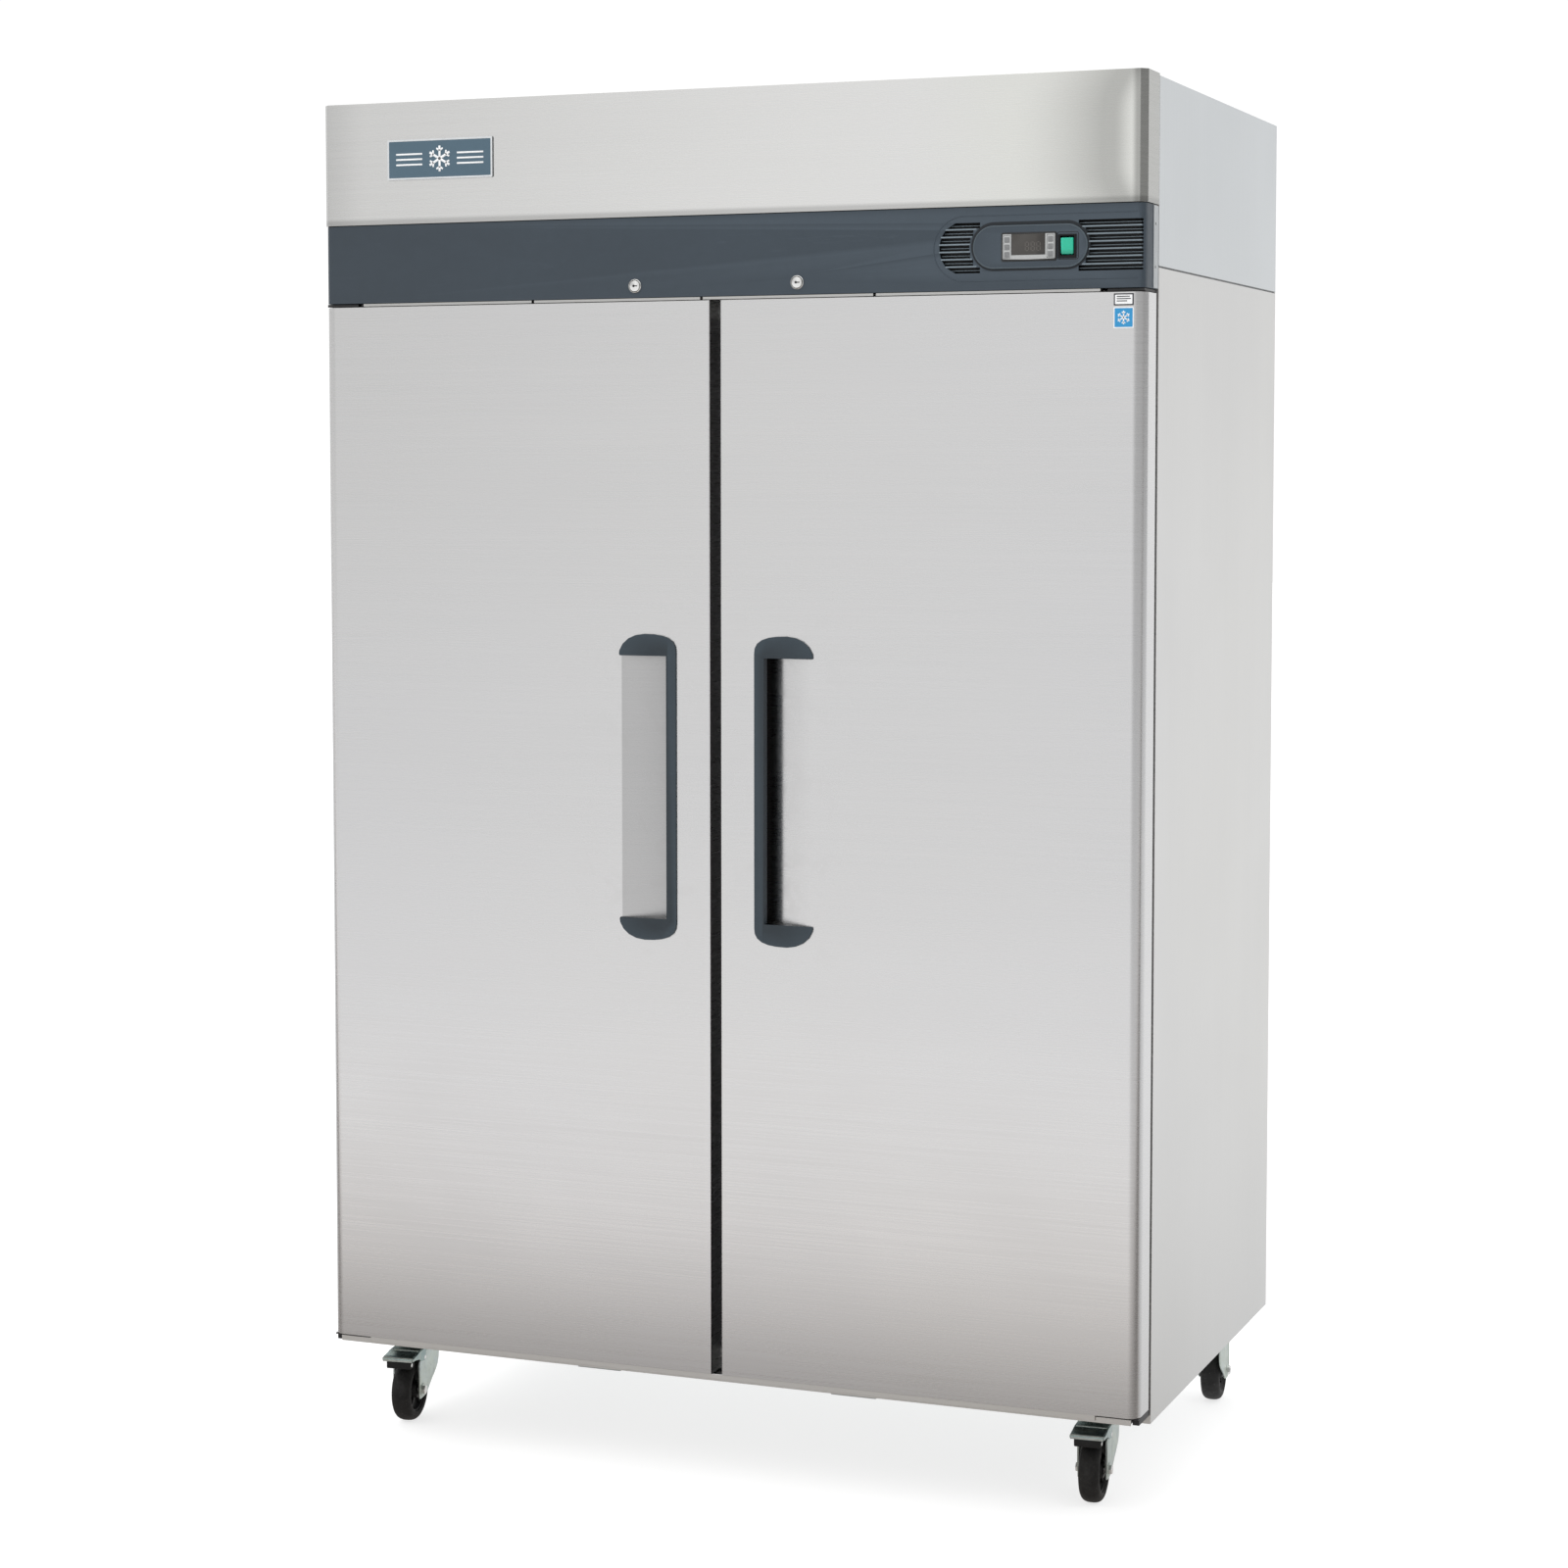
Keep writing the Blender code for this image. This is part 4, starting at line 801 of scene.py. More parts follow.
def flake_bm(cx, cz, r, width, y0, y1):
    """A plain six-armed snow crystal."""
    bm = bmesh.new()
    for k in range(6):
        a = math.radians(60 * k + 30)
        turn = Matrix.Translation((cx, 0, cz)) @ Matrix.Rotation(-a, 4, "Y")
        arm = box_bm((0, y0, -width / 2), (r, y1, width / 2), width * 0.2, 1)
        merge(bm, place(arm, turn))
        for at, side in ((0.62, 1), (0.62, -1)):
            twig = box_bm((0, y0, -width * 0.38), (r * 0.34, y1, width * 0.38), width * 0.2, 1)
            tilt = Matrix.Translation((r * at, 0, 0)) @ Matrix.Rotation(math.radians(-55 * side), 4, "Y")
            merge(bm, place(twig, turn @ tilt))
    return bm


make("label_flake", flake_bm(0.6251, 1.7567, 0.0096, 0.0017, -0.40264, -0.40245), LABEL_WHITE, "door_right", sharp=50)

# ================================================================ hood badge
plate = joined(prism_bm(rounded(-0.5430, 1.9860, -0.3640, 2.0470, 0.0015, 3), "XZ", -0.4043, -0.4023, 0.0003, 1))
make("badge_backing", plate, BLACK, "cabinet", ["badge_plate"])
border = bmesh.new()
outer, inner = rounded(-0.5430, 1.9860, -0.3640, 2.0470, 0.0015, 3), rounded(-0.5402, 1.9888, -0.3668, 2.0442, 0.0010, 3)
ra = [[border.verts.new((x, y, z)) for x, z in loop] for loop, y in ((outer, -0.4040), (outer, -0.4047), (inner, -0.4047), (inner, -0.4040))]
for a, b in zip(ra, ra[1:] + ra[:1]):
    for i in range(len(outer)):
        j = (i + 1) % len(outer)
        border.faces.new((a[i], a[j], b[j], b[i]))
make("badge_border", border, BRIGHT, "cabinet")
make("badge_face", prism_bm(rounded(-0.5404, 1.9886, -0.3666, 2.0444, 0.0010, 3), "XZ", -0.40445, -0.4041), BADGE, "cabinet")
emblem = joined(
    flake_bm(-0.4535, 2.0165, 0.0195, 0.0036, -0.40485, -0.4044),
    *[box_bm((x0, -0.40485, z - 0.0013), (x1, -0.4044, z + 0.0013), 0.0002, 1) for x0, x1 in ((-0.5280, -0.4830), (-0.4240, -0.3790)) for z in (2.0245, 2.0165, 2.0085)],
)
make("badge_emblem", emblem, LABEL_WHITE, "cabinet", sharp=50)


# ================================================================ control fascia
refined("control_fascia", PLASTIC, "fascia", 0.0007, 2)
make(
    "fascia_backing",
    joined(box_bm((0.330, -0.3872, 1.8060), (0.6525, -0.3860, 1.9120)), box_bm((-0.650, -0.3380, 1.8010), (0.650, -0.3372, 1.9160))),
    MATT_BLACK,
    "cabinet",
)
for s in (-1, 1):
    end = prism_bm(
        [(-0.3580, 1.8000), (-0.3345, 1.8000), (-0.3345, 1.9172), (-0.3580, 1.9172)], "YZ", *sorted((s * 0.65545, s * 0.6568)), 0.0004, 1
    )
    make(f"fascia_end_{'left' if s < 0 else 'right'}", end, FASCIA_END, "cabinet")
    heads = joined(
        *[
            lathe_bm([(0, 0.0002), (0.0020, 0.00015), (0.0024, -0.0002), (0, -0.0002)], (s * 0.6568, -0.3500, z), (s, 0, 0), 12)
            for z in (1.8910, 1.8300)
        ]
    )
    make(f"fascia_end_screws_{'left' if s < 0 else 'right'}", heads, BLACK, "cabinet", sharp=50)

# thin raised line round the control area
path = [(0.6430, 1.9055), (0.3876, 1.9055)]
path += [(0.3876 + 0.0465 * math.cos(math.radians(a)), 1.8590 + 0.0465 * math.sin(math.radians(a))) for a in range(96, 270, 6)]
path += [(0.3876, 1.8125), (0.6430, 1.8125)]
make("fascia_line", tube_bm([(x, -0.40005, z) for x, z in path], 0.00065, 6), PLASTIC, "cabinet")
# rounded rim of the raised pod, in a lighter copy of the plastic as a painted highlight, and the moat round it, a dark
# ring painted as the groove's shade
rim = rounded(0.4023, 1.8303, 0.5707, 1.8897, 0.0296, 12)
make("pod_rim", tube_bm([(x, -0.4012, z) for x, z in rim], 0.00125, 10, closed=True), RIM_HIGHLIGHT, "cabinet")
moat = bmesh.new()
outer, inner = rounded(0.3978, 1.8262, 0.5752, 1.8958, 0.0345, 12), rounded(0.4012, 1.8292, 0.5718, 1.8908, 0.0306, 12)
loops = [[moat.verts.new((x, y, z)) for x, z in loop] for loop, y in ((outer, -0.3992), (outer, -0.4003), (inner, -0.4003), (inner, -0.3992))]
for a, b in zip(loops, loops[1:] + loops[:1]):
    for i in range(len(outer)):
        j = (i + 1) % len(outer)
        moat.faces.new((a[i], a[j], b[j], b[i]))
make("pod_moat_shade", moat, MOAT_SHADE, "cabinet")

# vent grille: a half-round nose on every slat and a thin fin deep in every slot, both in a lighter copy of the plastic:
# painted highlight on the slats, painted light on the fins in the slots' shade
slats, deep = bmesh.new(), bmesh.new()


def grille_bulge(z):
    middle = min(1.0, abs(1.8598 - z) / 0.0375)
    return 0.034 * math.sqrt(1 - middle * middle)


for row in range(7):
    z = 1.82785 + row * 0.01065
    out = grille_bulge(z)
    for x0, x1 in ((0.3840 - out, 0.4300 - out), (0.5395 + out, 0.6520)):
        merge(deep, box_bm((x0, -0.3945, z - 0.0006), (x1, -0.3888, z + 0.0006), 0.0003, 1))
for row in range(6):
    z = 1.82785 + (row + 0.5) * 0.01065
    out = grille_bulge(z)
    for x0, x1 in ((0.3830 - out, 0.4300 - out), (0.5395 + out, 0.6500)):
        merge(slats, tube_bm([(x0, -0.3995, z), (x1, -0.3995, z)], 0.00125, 10))
make("grille_slats", slats, SLAT_PAINTED_LIGHT, "cabinet")
make("grille_fins", deep, SLAT_PAINTED_LIGHT, "cabinet")
# shadow gap between the fascia and the hood: a matt black strip painted as its shadow
gap = joined(box_bm((-0.652, -0.3960, 1.9180), (0.597, -0.3880, 1.9189)), box_bm((0.6365, -0.3960, 1.9180), (0.6520, -0.3880, 1.9189)))
make("fascia_gap", gap, MATT_BLACK, "cabinet")
# the fascia's bent lower flange, seen as a pale line over the doors
flange = joined(*[box_bm((x0, -0.3988, 1.7942), (x1, -0.3905, 1.7985), 0.0003, 1) for x0, x1 in ((-0.5900, -0.3020), (-0.2980, -0.0250), (-0.0210, 0.2480), (0.2520, 0.5900))])
STEEL_FLANGE = steel("stainless_flange", (0.51, 0.51, 0.505), (1.3, 1.3, 380.0), 0.30, anisotropic=0.2)
make("fascia_flange", flange, STEEL_FLANGE, "cabinet")

# ---------------- controller
bezel_outline = [(0.4462, 1.8436), (0.4470, 1.8424)]
bezel_outline += [(0.4470 + (0.5233 - 0.4470) * t / 10, 1.8424 - 0.0010 * math.sin(math.pi * t / 10)) for t in range(1, 10)]
bezel_outline += [(0.5233, 1.8424), (0.5241, 1.8436), (0.5241, 1.8768), (0.5233, 1.8778), (0.4470, 1.8778), (0.4462, 1.8768)]
cutters = []
for x0, x1, z0, z1, y1 in ((0.4591, 0.5098, 1.8478, 1.8800, -0.40265), (0.4472, 0.4580, 1.8433, 1.8765, -0.40245), (0.5119, 0.5230, 1.8433, 1.8765, -0.40245)):
    mesh = bpy.data.meshes.new("cutter")
    tool_bm = box_bm((x0, -0.4060, z0), (x1, y1, z1))
    tool_bm.to_mesh(mesh)
    tool_bm.free()
    cutters.append(mesh)
bez = prism_bm(bezel_outline, "XZ", -0.4040, -0.4022, 0.0004, 2, both=False)
merge(bez, box_bm((0.4499, -0.4024, 1.8437), (0.5204, -0.3560, 1.8753), 0.0006, 1))
bezel = make("controller_frame", bez, GREY, "cabinet", ["controller_bezel"], weighted=False)
tools = []
for mesh in cutters:
    tool = bpy.data.objects.new("cutter", mesh)
    bpy.context.scene.collection.objects.link(tool)
    tools.append(tool)
    modifier = bezel.modifiers.new("cut", "BOOLEAN")
    modifier.object = tool
    modifier.operation = "DIFFERENCE"
    modifier.solver = "EXACT"
bpy.context.view_layer.update()
cut_mesh = bpy.data.meshes.new_from_object(bezel.evaluated_get(bpy.context.evaluated_depsgraph_get()))
bezel.modifiers.clear()
bezel.data = cut_mesh
for tool in tools:
    bpy.data.objects.remove(tool, do_unlink=True)
make("controller_rim", tube_bm([(x, -0.40235, z) for x, z in rounded(0.4452, 1.8404, 0.5251, 1.8789, 0.0016, 3)], 0.0013, 8, closed=True), BLACK, "cabinet")
window = prism_bm(rounded(0.4593, 1.8480, 0.5096, 1.8776, 0.0006, 2), "XZ", -0.40345, -0.4026, 0.0003, 2, both=False)
make("display", window, SCREEN, "cabinet")


def digit_bm(x, z, w, h, t, y0, y1):
    """The seven bars of an unlit digit."""
    parts = []
    for cz in (z, z + h / 2, z + h):
        parts.append(box_bm((x + t, y0, cz - t / 2), (x + w - t, y1, cz + t / 2)))
    for cx in (x, x + w):
        for a, b in ((z + t * 0.7, z + h / 2 - t * 0.7), (z + h / 2 + t * 0.7, z + h - t * 0.7)):
            parts.append(box_bm((cx - t / 2, y0, a), (cx + t / 2, y1, b)))
    return joined(*parts)


SEGMENT = plain_plastic("unlit_segments", (0.085, 0.078, 0.070), 0.3)
digits = joined(*[digit_bm(x, 1.8540, 0.0050, 0.0120, 0.0010, -0.40352, -0.4034) for x in (0.4800, 0.4885, 0.4970)])
make("display_segments", digits, SEGMENT, "cabinet")

for side, (x0, x1) in (("left", (0.4472, 0.4582)), ("right", (0.5117, 0.5230))):
    body = NODE_BODY[f"controller_keys_{side}"]
    web = box_bm((x0 + 0.0006, -0.4036, 1.8440), (x1 - 0.0006, -0.4031, 1.8758), 0.0002, 1)
    make(f"key_web_{side}", web, GREY, body, [f"controller_keys_{side}"])
    caps = bmesh.new()
    for i in range(3):
        z = 1.8448 + i * 0.0105
        merge(caps, prism_bm(rounded(x0 + 0.0019, z, x1 - 0.0019, z + 0.0078, 0.0008, 3), "XZ", -0.4044, -0.4033, 0.0003, 2, both=False))
    make(f"keys_{side}", caps, KEYS, body)

# ---------------- switch
refined("switch_housing", GLOSS_BLACK, "rocker_housing", 0.0009, 3)
make(
    "switch_outline",
    tube_bm([(x, -0.40195, z) for x, z in rounded(0.5272, 1.8405, 0.5582, 1.8792, 0.0030, 4)], 0.0005, 6, closed=True),
    BLACK,
    "cabinet",
)
refined("rocker_switch", GREEN, "rocker", 0.0016, 4, angle=20)

# ---------------- locks
for side, s in (("left", -1), ("right", 1)):
    c = (s * 0.130, 0, 1.8165)
    collar = lathe_bm(
        [(0.0092, 0.0), (0.0106, 0.0), (0.0106, 0.0012), (0.0101, 0.0020), (0.0095, 0.0024), (0.0091, 0.0020), (0.0090, 0.0)], (c[0], -0.3998, c[2]), (0, -1, 0), 40, closed=True
    )
    make(f"lock_collar_{side}", collar, CHROME, "cabinet", sharp=50)
    plug = joined(
        lathe_bm([(0, 0.0), (0.0083, 0.0), (0.0083, 0.0295), (0.0079, 0.0305), (0.0070, 0.0308), (0, 0.0308)], (c[0], -0.3720, c[2]), (0, -1, 0), 32),
        box_bm((c[0] - 0.004, -0.3745, c[2] - 0.004), (c[0] + 0.0135, -0.3715, c[2] + 0.004), 0.0005, 1),
    )
    make(f"lock_face_{side}", plug, CHROME, NODE_BODY[f"lock_plug_{side}"], [f"lock_plug_{side}"])
    # matt black disc and bar on the lock face: the keyway's hole painted as shade
    slot_mark = joined(
        cyl_bm((c[0] - 0.0012, -0.40275, c[2]), (c[0] - 0.0012, -0.40300, c[2]), 0.0019, 18),
        box_bm((c[0] - 0.0010, -0.40300, c[2] - 0.0008), (c[0] + 0.0046, -0.40275, c[2] + 0.0008)),
    )
    make(f"lock_keyway_{side}", slot_mark, MATT_BLACK, NODE_BODY[f"lock_plug_{side}"])

# ---------------- fittings in the slit between the fascia and the doors
bits_black, bits_white = bmesh.new(), bmesh.new()
for x0, x1, z0, z1 in (
    (-0.5970, -0.5830, 1.7945, 1.7985),
    (-0.5035, -0.4955, 1.7955, 1.7985),
    (-0.4925, -0.4860, 1.7955, 1.7980),
    (-0.2655, -0.2560, 1.7960, 1.7988),
    (-0.2470, -0.2290, 1.7940, 1.7988),
    (0.0140, 0.0215, 1.7955, 1.7985),
    (0.0235, 0.0280, 1.7960, 1.7980),
    (0.2920, 0.3000, 1.7955, 1.7988),
    (0.3030, 0.3170, 1.7940, 1.7988),
    (0.5260, 0.5330, 1.7955, 1.7985),
    (0.5345, 0.5400, 1.7960, 1.7980),
):
    merge(bits_black, box_bm((x0, -0.3935, z0), (x1, -0.3860, z1), 0.0006, 1))
for x0, x1 in ((-0.2985, -0.2680), (0.2590, 0.2875)):
    merge(bits_white, box_bm((x0, -0.3945, 1.7962), (x1, -0.3700, 1.7984), 0.0004, 1))
make("slit_fittings_dark", bits_black, BLACK, "cabinet")
make("slit_fittings_light", bits_white, STEEL_STRIP, "cabinet")

# ================================================================ inside: racks, shelves
for node in ("shelf_rack_left", "shelf_rack_right", "shelf_rack_center"):
    refined(node, STEEL_IN, node.replace("shelf_rack", "rack"), 0.0004, 1)


def wire_shelf(node, s, z):
    """A coated wire shelf: a heavy frame with cross rods, and thin wires from front to back on top."""
    x0, x1 = sorted((s * 0.0068, s * 0.5847))
    y0, y1 = -0.2497, 0.3117
    bm = bmesh.new()
    r = 0.0029
    zc = z + 0.0003 + r
    frame_path = [(x, y, zc) for x, y in rounded(x0 + r, y0 + r, x1 - r, y1 - r, 0.012, 4)]
    merge(bm, tube_bm(frame_path, r, 10, closed=True))
    for y in (-0.115, 0.031, 0.177):
        merge(bm, tube_bm([(x0 + r, y, zc), (x1 - r, y, zc)], 0.0024, 8))
    count = 27
    for i in range(1, count):
        x = x0 + (x1 - x0) * i / count
        top = z + 0.0083 - 0.0014
        merge(
            bm,
            tube_bm([(x, y0 + 0.0030, zc + 0.0005), (x, y0 + 0.0055, top), (x, y1 - 0.0055, top), (x, y1 - 0.0030, zc + 0.0005)], 0.00135, 6),
        )
    make(node.replace("shelf", "wire_shelf"), bm, WIRE, NODE_BODY[node], [node], sharp=60)


for side, s in (("left", -1), ("right", 1)):
    for level, z in zip(("lower", "middle", "upper"), (0.470, 0.850, 1.230)):
        wire_shelf(f"shelf_{side}_{level}", s, z)


# ================================================================ fans and coils
def fan_bm(centre, radius, blades, depth, hub=0.27):
    """A hub with a domed face and broad twisted blades, on an axis along Y, facing -Y."""
    c = Vector(centre)
    h = depth / 2
    bm = lathe_bm(
        [(0, h), (radius * hub * 0.7, h * 0.98), (radius * hub * 0.95, h * 0.7), (radius * hub, h * 0.4), (radius * hub, -h), (radius * hub * 0.85, -h), (0, -h)],
        c, (0, -1, 0), 28,
    )
    for b in range(blades):
        sheet = bmesh.new()
        nu, nv = 9, 7
        grid = []
        for i in range(nu):
            u = i / (nu - 1)
            r = radius * (hub * 0.9 + (0.985 - hub * 0.9) * u)
            chord = math.radians(20 + 24 * math.sin(math.pi * min(1, 0.25 + 0.72 * u)))
            lean = math.radians(10 * u)
            row = []
            for j in range(nv):
                v = j / (nv - 1) - 0.5
                trim = 1 - 0.35 * max(0.0, (u - 0.8) / 0.2) ** 2
                a = 2 * math.pi * b / blades + lean + chord * v * trim * 1.6
                y = depth * 0.40 * (v * 2) * (1 - 0.25 * u) - 0.10 * depth * math.cos(v * math.pi)
                row.append(sheet.verts.new(c + Vector((r * math.cos(a), y, r * math.sin(a)))))
            grid.append(row)
        for i in range(nu - 1):
            for j in range(nv - 1):
                sheet.faces.new((grid[i][j], grid[i][j + 1], grid[i + 1][j + 1], grid[i + 1][j]))
        bmesh.ops.recalc_face_normals(sheet, faces=sheet.faces[:])
        bmesh.ops.solidify(sheet, geom=sheet.faces[:], thickness=0.0011)
        merge(bm, sheet)
    return bm


TOP = 1.8322
FAN = (0.400, -0.150, TOP + 0.120)
make("condenser_blades", fan_bm(FAN, 0.0945, 5, 0.028), ALU, NODE_BODY["condenser_fan"], ["condenser_fan"], sharp=40)
for side, x in (("left", -0.20), ("right", 0.20)):
    node = f"evaporator_fan_{side}"
    make(f"evaporator_blades_{side}", fan_bm((x, 0.086, 1.680), 0.0655, 5, 0.0185), BLACK, NODE_BODY[node], [node], sharp=40)


def guard_bm(centre, radius, y, wire=0.0011, rings=5):
    """A wire guard: concentric rings on radial spokes."""
    cx, _, cz = centre
    bm = bmesh.new()
    for k in range(1, rings + 1):
        r = radius * (0.22 + 0.78 * (k - 1) / (rings - 1))
        merge(bm, tube_bm([(cx + r * math.cos(2 * math.pi * i / 40), y, cz + r * math.sin(2 * math.pi * i / 40)) for i in range(40)], wire, 6, closed=True))
    for k in range(4):
        a = math.pi * k / 2 + math.pi / 4
        merge(
            bm,
            tube_bm(
                [(cx + r * math.cos(a), y + wire * 1.6, cz + r * math.sin(a)) for r in (radius * 0.2, radius * 1.03)], wire * 1.2, 6
            ),
        )
    return bm


refined("evaporator_housing", WHITE, "evaporator_cover", 0.0006, 2)
make("evaporator_guards", joined(*[guard_bm((x, 0, 1.680), 0.0760, 0.0672, 0.0011, 6) for x in (-0.20, 0.20)]), WIRE, "cabinet", sharp=60)


def coil_bm(x0, x1, y0, y1, z0, z1, pitch):
    bm = bmesh.new()
    n = int((x1 - x0) / pitch)
    for i in range(n + 1):
        x = x0 + (x1 - x0) * i / n
        merge(bm, box_bm((x - 0.00022, y0, z0), (x + 0.00022, y1, z1)))
    return bm


def u_bends_bm(x, out, ys, zs, r):
    """Copper return bends on a coil's end plate."""
    bm = bmesh.new()
    for y in ys:
        for za, zb in zip(zs[::2], zs[1::2]):
            mid, half = (za + zb) / 2, (zb - za) / 2
            arc = [(x + out * (0.002 + half * math.sin(math.pi * t / 8)), y, mid - half * math.cos(math.pi * t / 8)) for t in range(9)]
            merge(bm, tube_bm([(x, y, za)] + arc + [(x, y, zb)], r, 8))
    return bm


cond = coil_bm(0.2235, 0.5765, -0.2845, -0.2255, TOP + 0.003, TOP + 0.233, 0.0034)
make("condenser_fins", cond, ALU, "cabinet", ["condenser_coil"], sharp=60)
plates = joined(
    box_bm((0.212, -0.292, TOP + 0.0002), (0.2216, -0.218, TOP + 0.238), 0.0008, 1),
    box_bm((0.5784, -0.292, TOP + 0.0002), (0.588, -0.218, TOP + 0.238), 0.0008, 1),
)
make("condenser_end_plates", plates, GALV, "cabinet")
make("condenser_bends", u_bends_bm(0.2125, -1, (-0.268, -0.242), [TOP + 0.034 + 0.0245 * i for i in range(8)], 0.0036), COPPER, "cabinet")
evap = coil_bm(-0.3675, 0.3675, 0.1605, 0.2395, 1.6105, 1.7515, 0.0042)
make("evaporator_fins", evap, ALU, "cabinet", ["evaporator_coil"], sharp=60)
make(
    "evaporator_end_plates",
    joined(box_bm((-0.376, 0.155, 1.604), (-0.368, 0.245, 1.758), 0.0006, 1), box_bm((0.368, 0.155, 1.604), (0.376, 0.245, 1.758), 0.0006, 1)),
    GALV,
    "cabinet",
)
make("evaporator_bends", u_bends_bm(0.3755, 1, (0.180, 0.220), [1.622 + 0.017 * i for i in range(8)], 0.0032), COPPER, "cabinet")
refined("condenser_fan_shroud", PAINT, "fan_shroud", 0.0005, 1)
make("condenser_guard", guard_bm(FAN, 0.1030, -0.1895, 0.0013, 7), CHROME, "cabinet", sharp=60)

# ================================================================ compressor and its tubes
cx, cy = 0.34, 0.20
dome = [(0, TOP + 0.004), (0.066, TOP + 0.004), (0.0735, TOP + 0.010), (0.0765, TOP + 0.022), (0.0772, TOP + 0.088), (0.0780, TOP + 0.0885), (0.0780, TOP + 0.0945), (0.0772, TOP + 0.095)]
dome += [(0.0772 * math.cos(a) ** 0.72 if a < math.pi / 2 - 1e-6 else 0.0, TOP + 0.120 + 0.060 * math.sin(a)) for a in [math.pi / 2 * i / 9 for i in range(10)]]
body = lathe_bm([(r, z - 0.0) for r, z in dome], (cx, cy, 0), (0, 0, 1), 40)
merge(body, box_bm((0.236, 0.166, TOP + 0.0705), (0.290, 0.234, TOP + 0.1345), 0.003, 2))
merge(body, box_bm((0.2405, 0.1005, TOP + 0.0003), (0.4395, 0.2995, TOP + 0.0038), 0.001, 1))
merge(body, box_bm((0.250, 0.191, TOP + 0.003), (0.430, 0.209, TOP + 0.032), 0.001, 1))
merge(body, box_bm((0.331, 0.110, TOP + 0.003), (0.349, 0.290, TOP + 0.032), 0.001, 1))
make("compressor_body", body, PAINT, "cabinet", ["compressor"], sharp=40)
bolts = bmesh.new()
for x in (0.2520, 0.4280):
    for y in (0.1120, 0.2880):
        merge(bolts, cyl_bm((x, y, TOP + 0.0036), (x, y, TOP + 0.0120), 0.0055, 6))
        merge(bolts, cyl_bm((x, y, TOP + 0.0034), (x, y, TOP + 0.0052), 0.0085, 20))
make("compressor_bolts", bolts, CHROME, "cabinet")
lines = bmesh.new()
merge(lines, tube_bm(smooth_path([(0.398, 0.250, TOP + 0.100), (0.430, 0.268, TOP + 0.104), (0.470, 0.260, TOP + 0.112), (0.520, 0.180, TOP + 0.130), (0.545, 0.040, TOP + 0.150), (0.5900, -0.120, TOP + 0.190), (0.5960, -0.230, TOP + 0.205), (0.5880, -0.255, TOP + 0.205)], 6), 0.0042, 10))
merge(lines, tube_bm(smooth_path([(0.282, 0.262, TOP + 0.080), (0.250, 0.300, TOP + 0.084), (0.180, 0.320, TOP + 0.086), (0.080, 0.300, TOP + 0.070), (0.040, 0.280, TOP + 0.030), (0.036, 0.276, TOP + 0.0005)], 6), 0.0062, 10))
merge(lines, tube_bm(smooth_path([(0.2060, -0.255, TOP + 0.050), (0.170, -0.250, TOP + 0.046), (0.120, -0.180, TOP + 0.042), (0.080, 0.020, TOP + 0.040), (0.066, 0.200, TOP + 0.036), (0.060, 0.268, TOP + 0.020), (0.060, 0.272, TOP + 0.0005)], 6), 0.0032, 8))
make("refrigerant_lines", lines, COPPER, "cabinet", sharp=60)
drier = lathe_bm([(0, 0), (0.0035, 0.001), (0.0040, 0.012), (0.0120, 0.022), (0.0125, 0.030), (0.0125, 0.095), (0.0120, 0.103), (0.0040, 0.113), (0.0035, 0.124), (0, 0.125)], (0.1150, -0.160, TOP + 0.042), (-0.19, 0.98, -0.01), 24)
make("filter_drier", drier, COPPER, "cabinet", sharp=60)

ebox = joined(
    box_bm((-0.4795, -0.0995, TOP + 0.0004), (-0.2605, 0.0995, TOP + 0.100), 0.003, 2),
    box_bm((-0.4800, -0.1000, TOP + 0.1005), (-0.2600, 0.1000, TOP + 0.110), 0.003, 2),
    box_bm((-0.4995, -0.1195, TOP + 0.0005), (-0.2405, 0.1195, TOP + 0.0025), 0.0006, 1),
)
make("control_box", ebox, GALV, "cabinet", ["electrical_box"])
glands = bmesh.new()
for y in (-0.05, 0.0, 0.05):
    merge(glands, lathe_bm([(0, 0), (0.0105, 0), (0.0105, 0.004), (0.0085, 0.005), (0.0085, 0.012), (0.0062, 0.016), (0, 0.016)], (-0.2605, y, TOP + 0.050), (1, 0, 0), 20))
make("control_box_glands", glands, BLACK, "cabinet", sharp=40)
wires = bmesh.new()
merge(wires, tube_bm(smooth_path([(-0.2460, 0.05, TOP + 0.050), (-0.200, 0.055, TOP + 0.045), (-0.100, 0.080, TOP + 0.008), (0.060, 0.130, TOP + 0.0065), (0.160, 0.170, TOP + 0.030), (0.220, 0.195, TOP + 0.085), (0.2370, 0.200, TOP + 0.095)], 8), 0.0038, 8))
merge(wires, tube_bm(smooth_path([(-0.2460, -0.05, TOP + 0.050), (-0.200, -0.060, TOP + 0.040), (-0.100, -0.100, TOP + 0.008), (0.100, -0.110, TOP + 0.0065), (0.260, -0.080, TOP + 0.050), (0.360, -0.070, TOP + 0.110), (0.392, -0.078, TOP + 0.120)], 8), 0.0030, 8))
merge(wires, tube_bm(smooth_path([(-0.2460, 0.0, TOP + 0.050), (-0.190, -0.010, TOP + 0.044), (-0.080, -0.120, TOP + 0.010), (0.060, -0.260, TOP + 0.008), (0.110, -0.300, TOP + 0.012), (0.120, -0.322, TOP + 0.020)], 8), 0.0034, 8))
make("harness", wires, BLACK, "cabinet", sharp=60)


# ================================================================ casters
CASTERS = (
    ("front_left", -0.612, -0.205, 7.0, True),
    ("front_right", 0.545, -0.210, 4.0, True),
    ("rear_left", -0.585, 0.318, 173.0, False),
    ("rear_right", 0.585, 0.318, 185.0, False),
)
AXLE = (0.0, -0.035, 0.050)


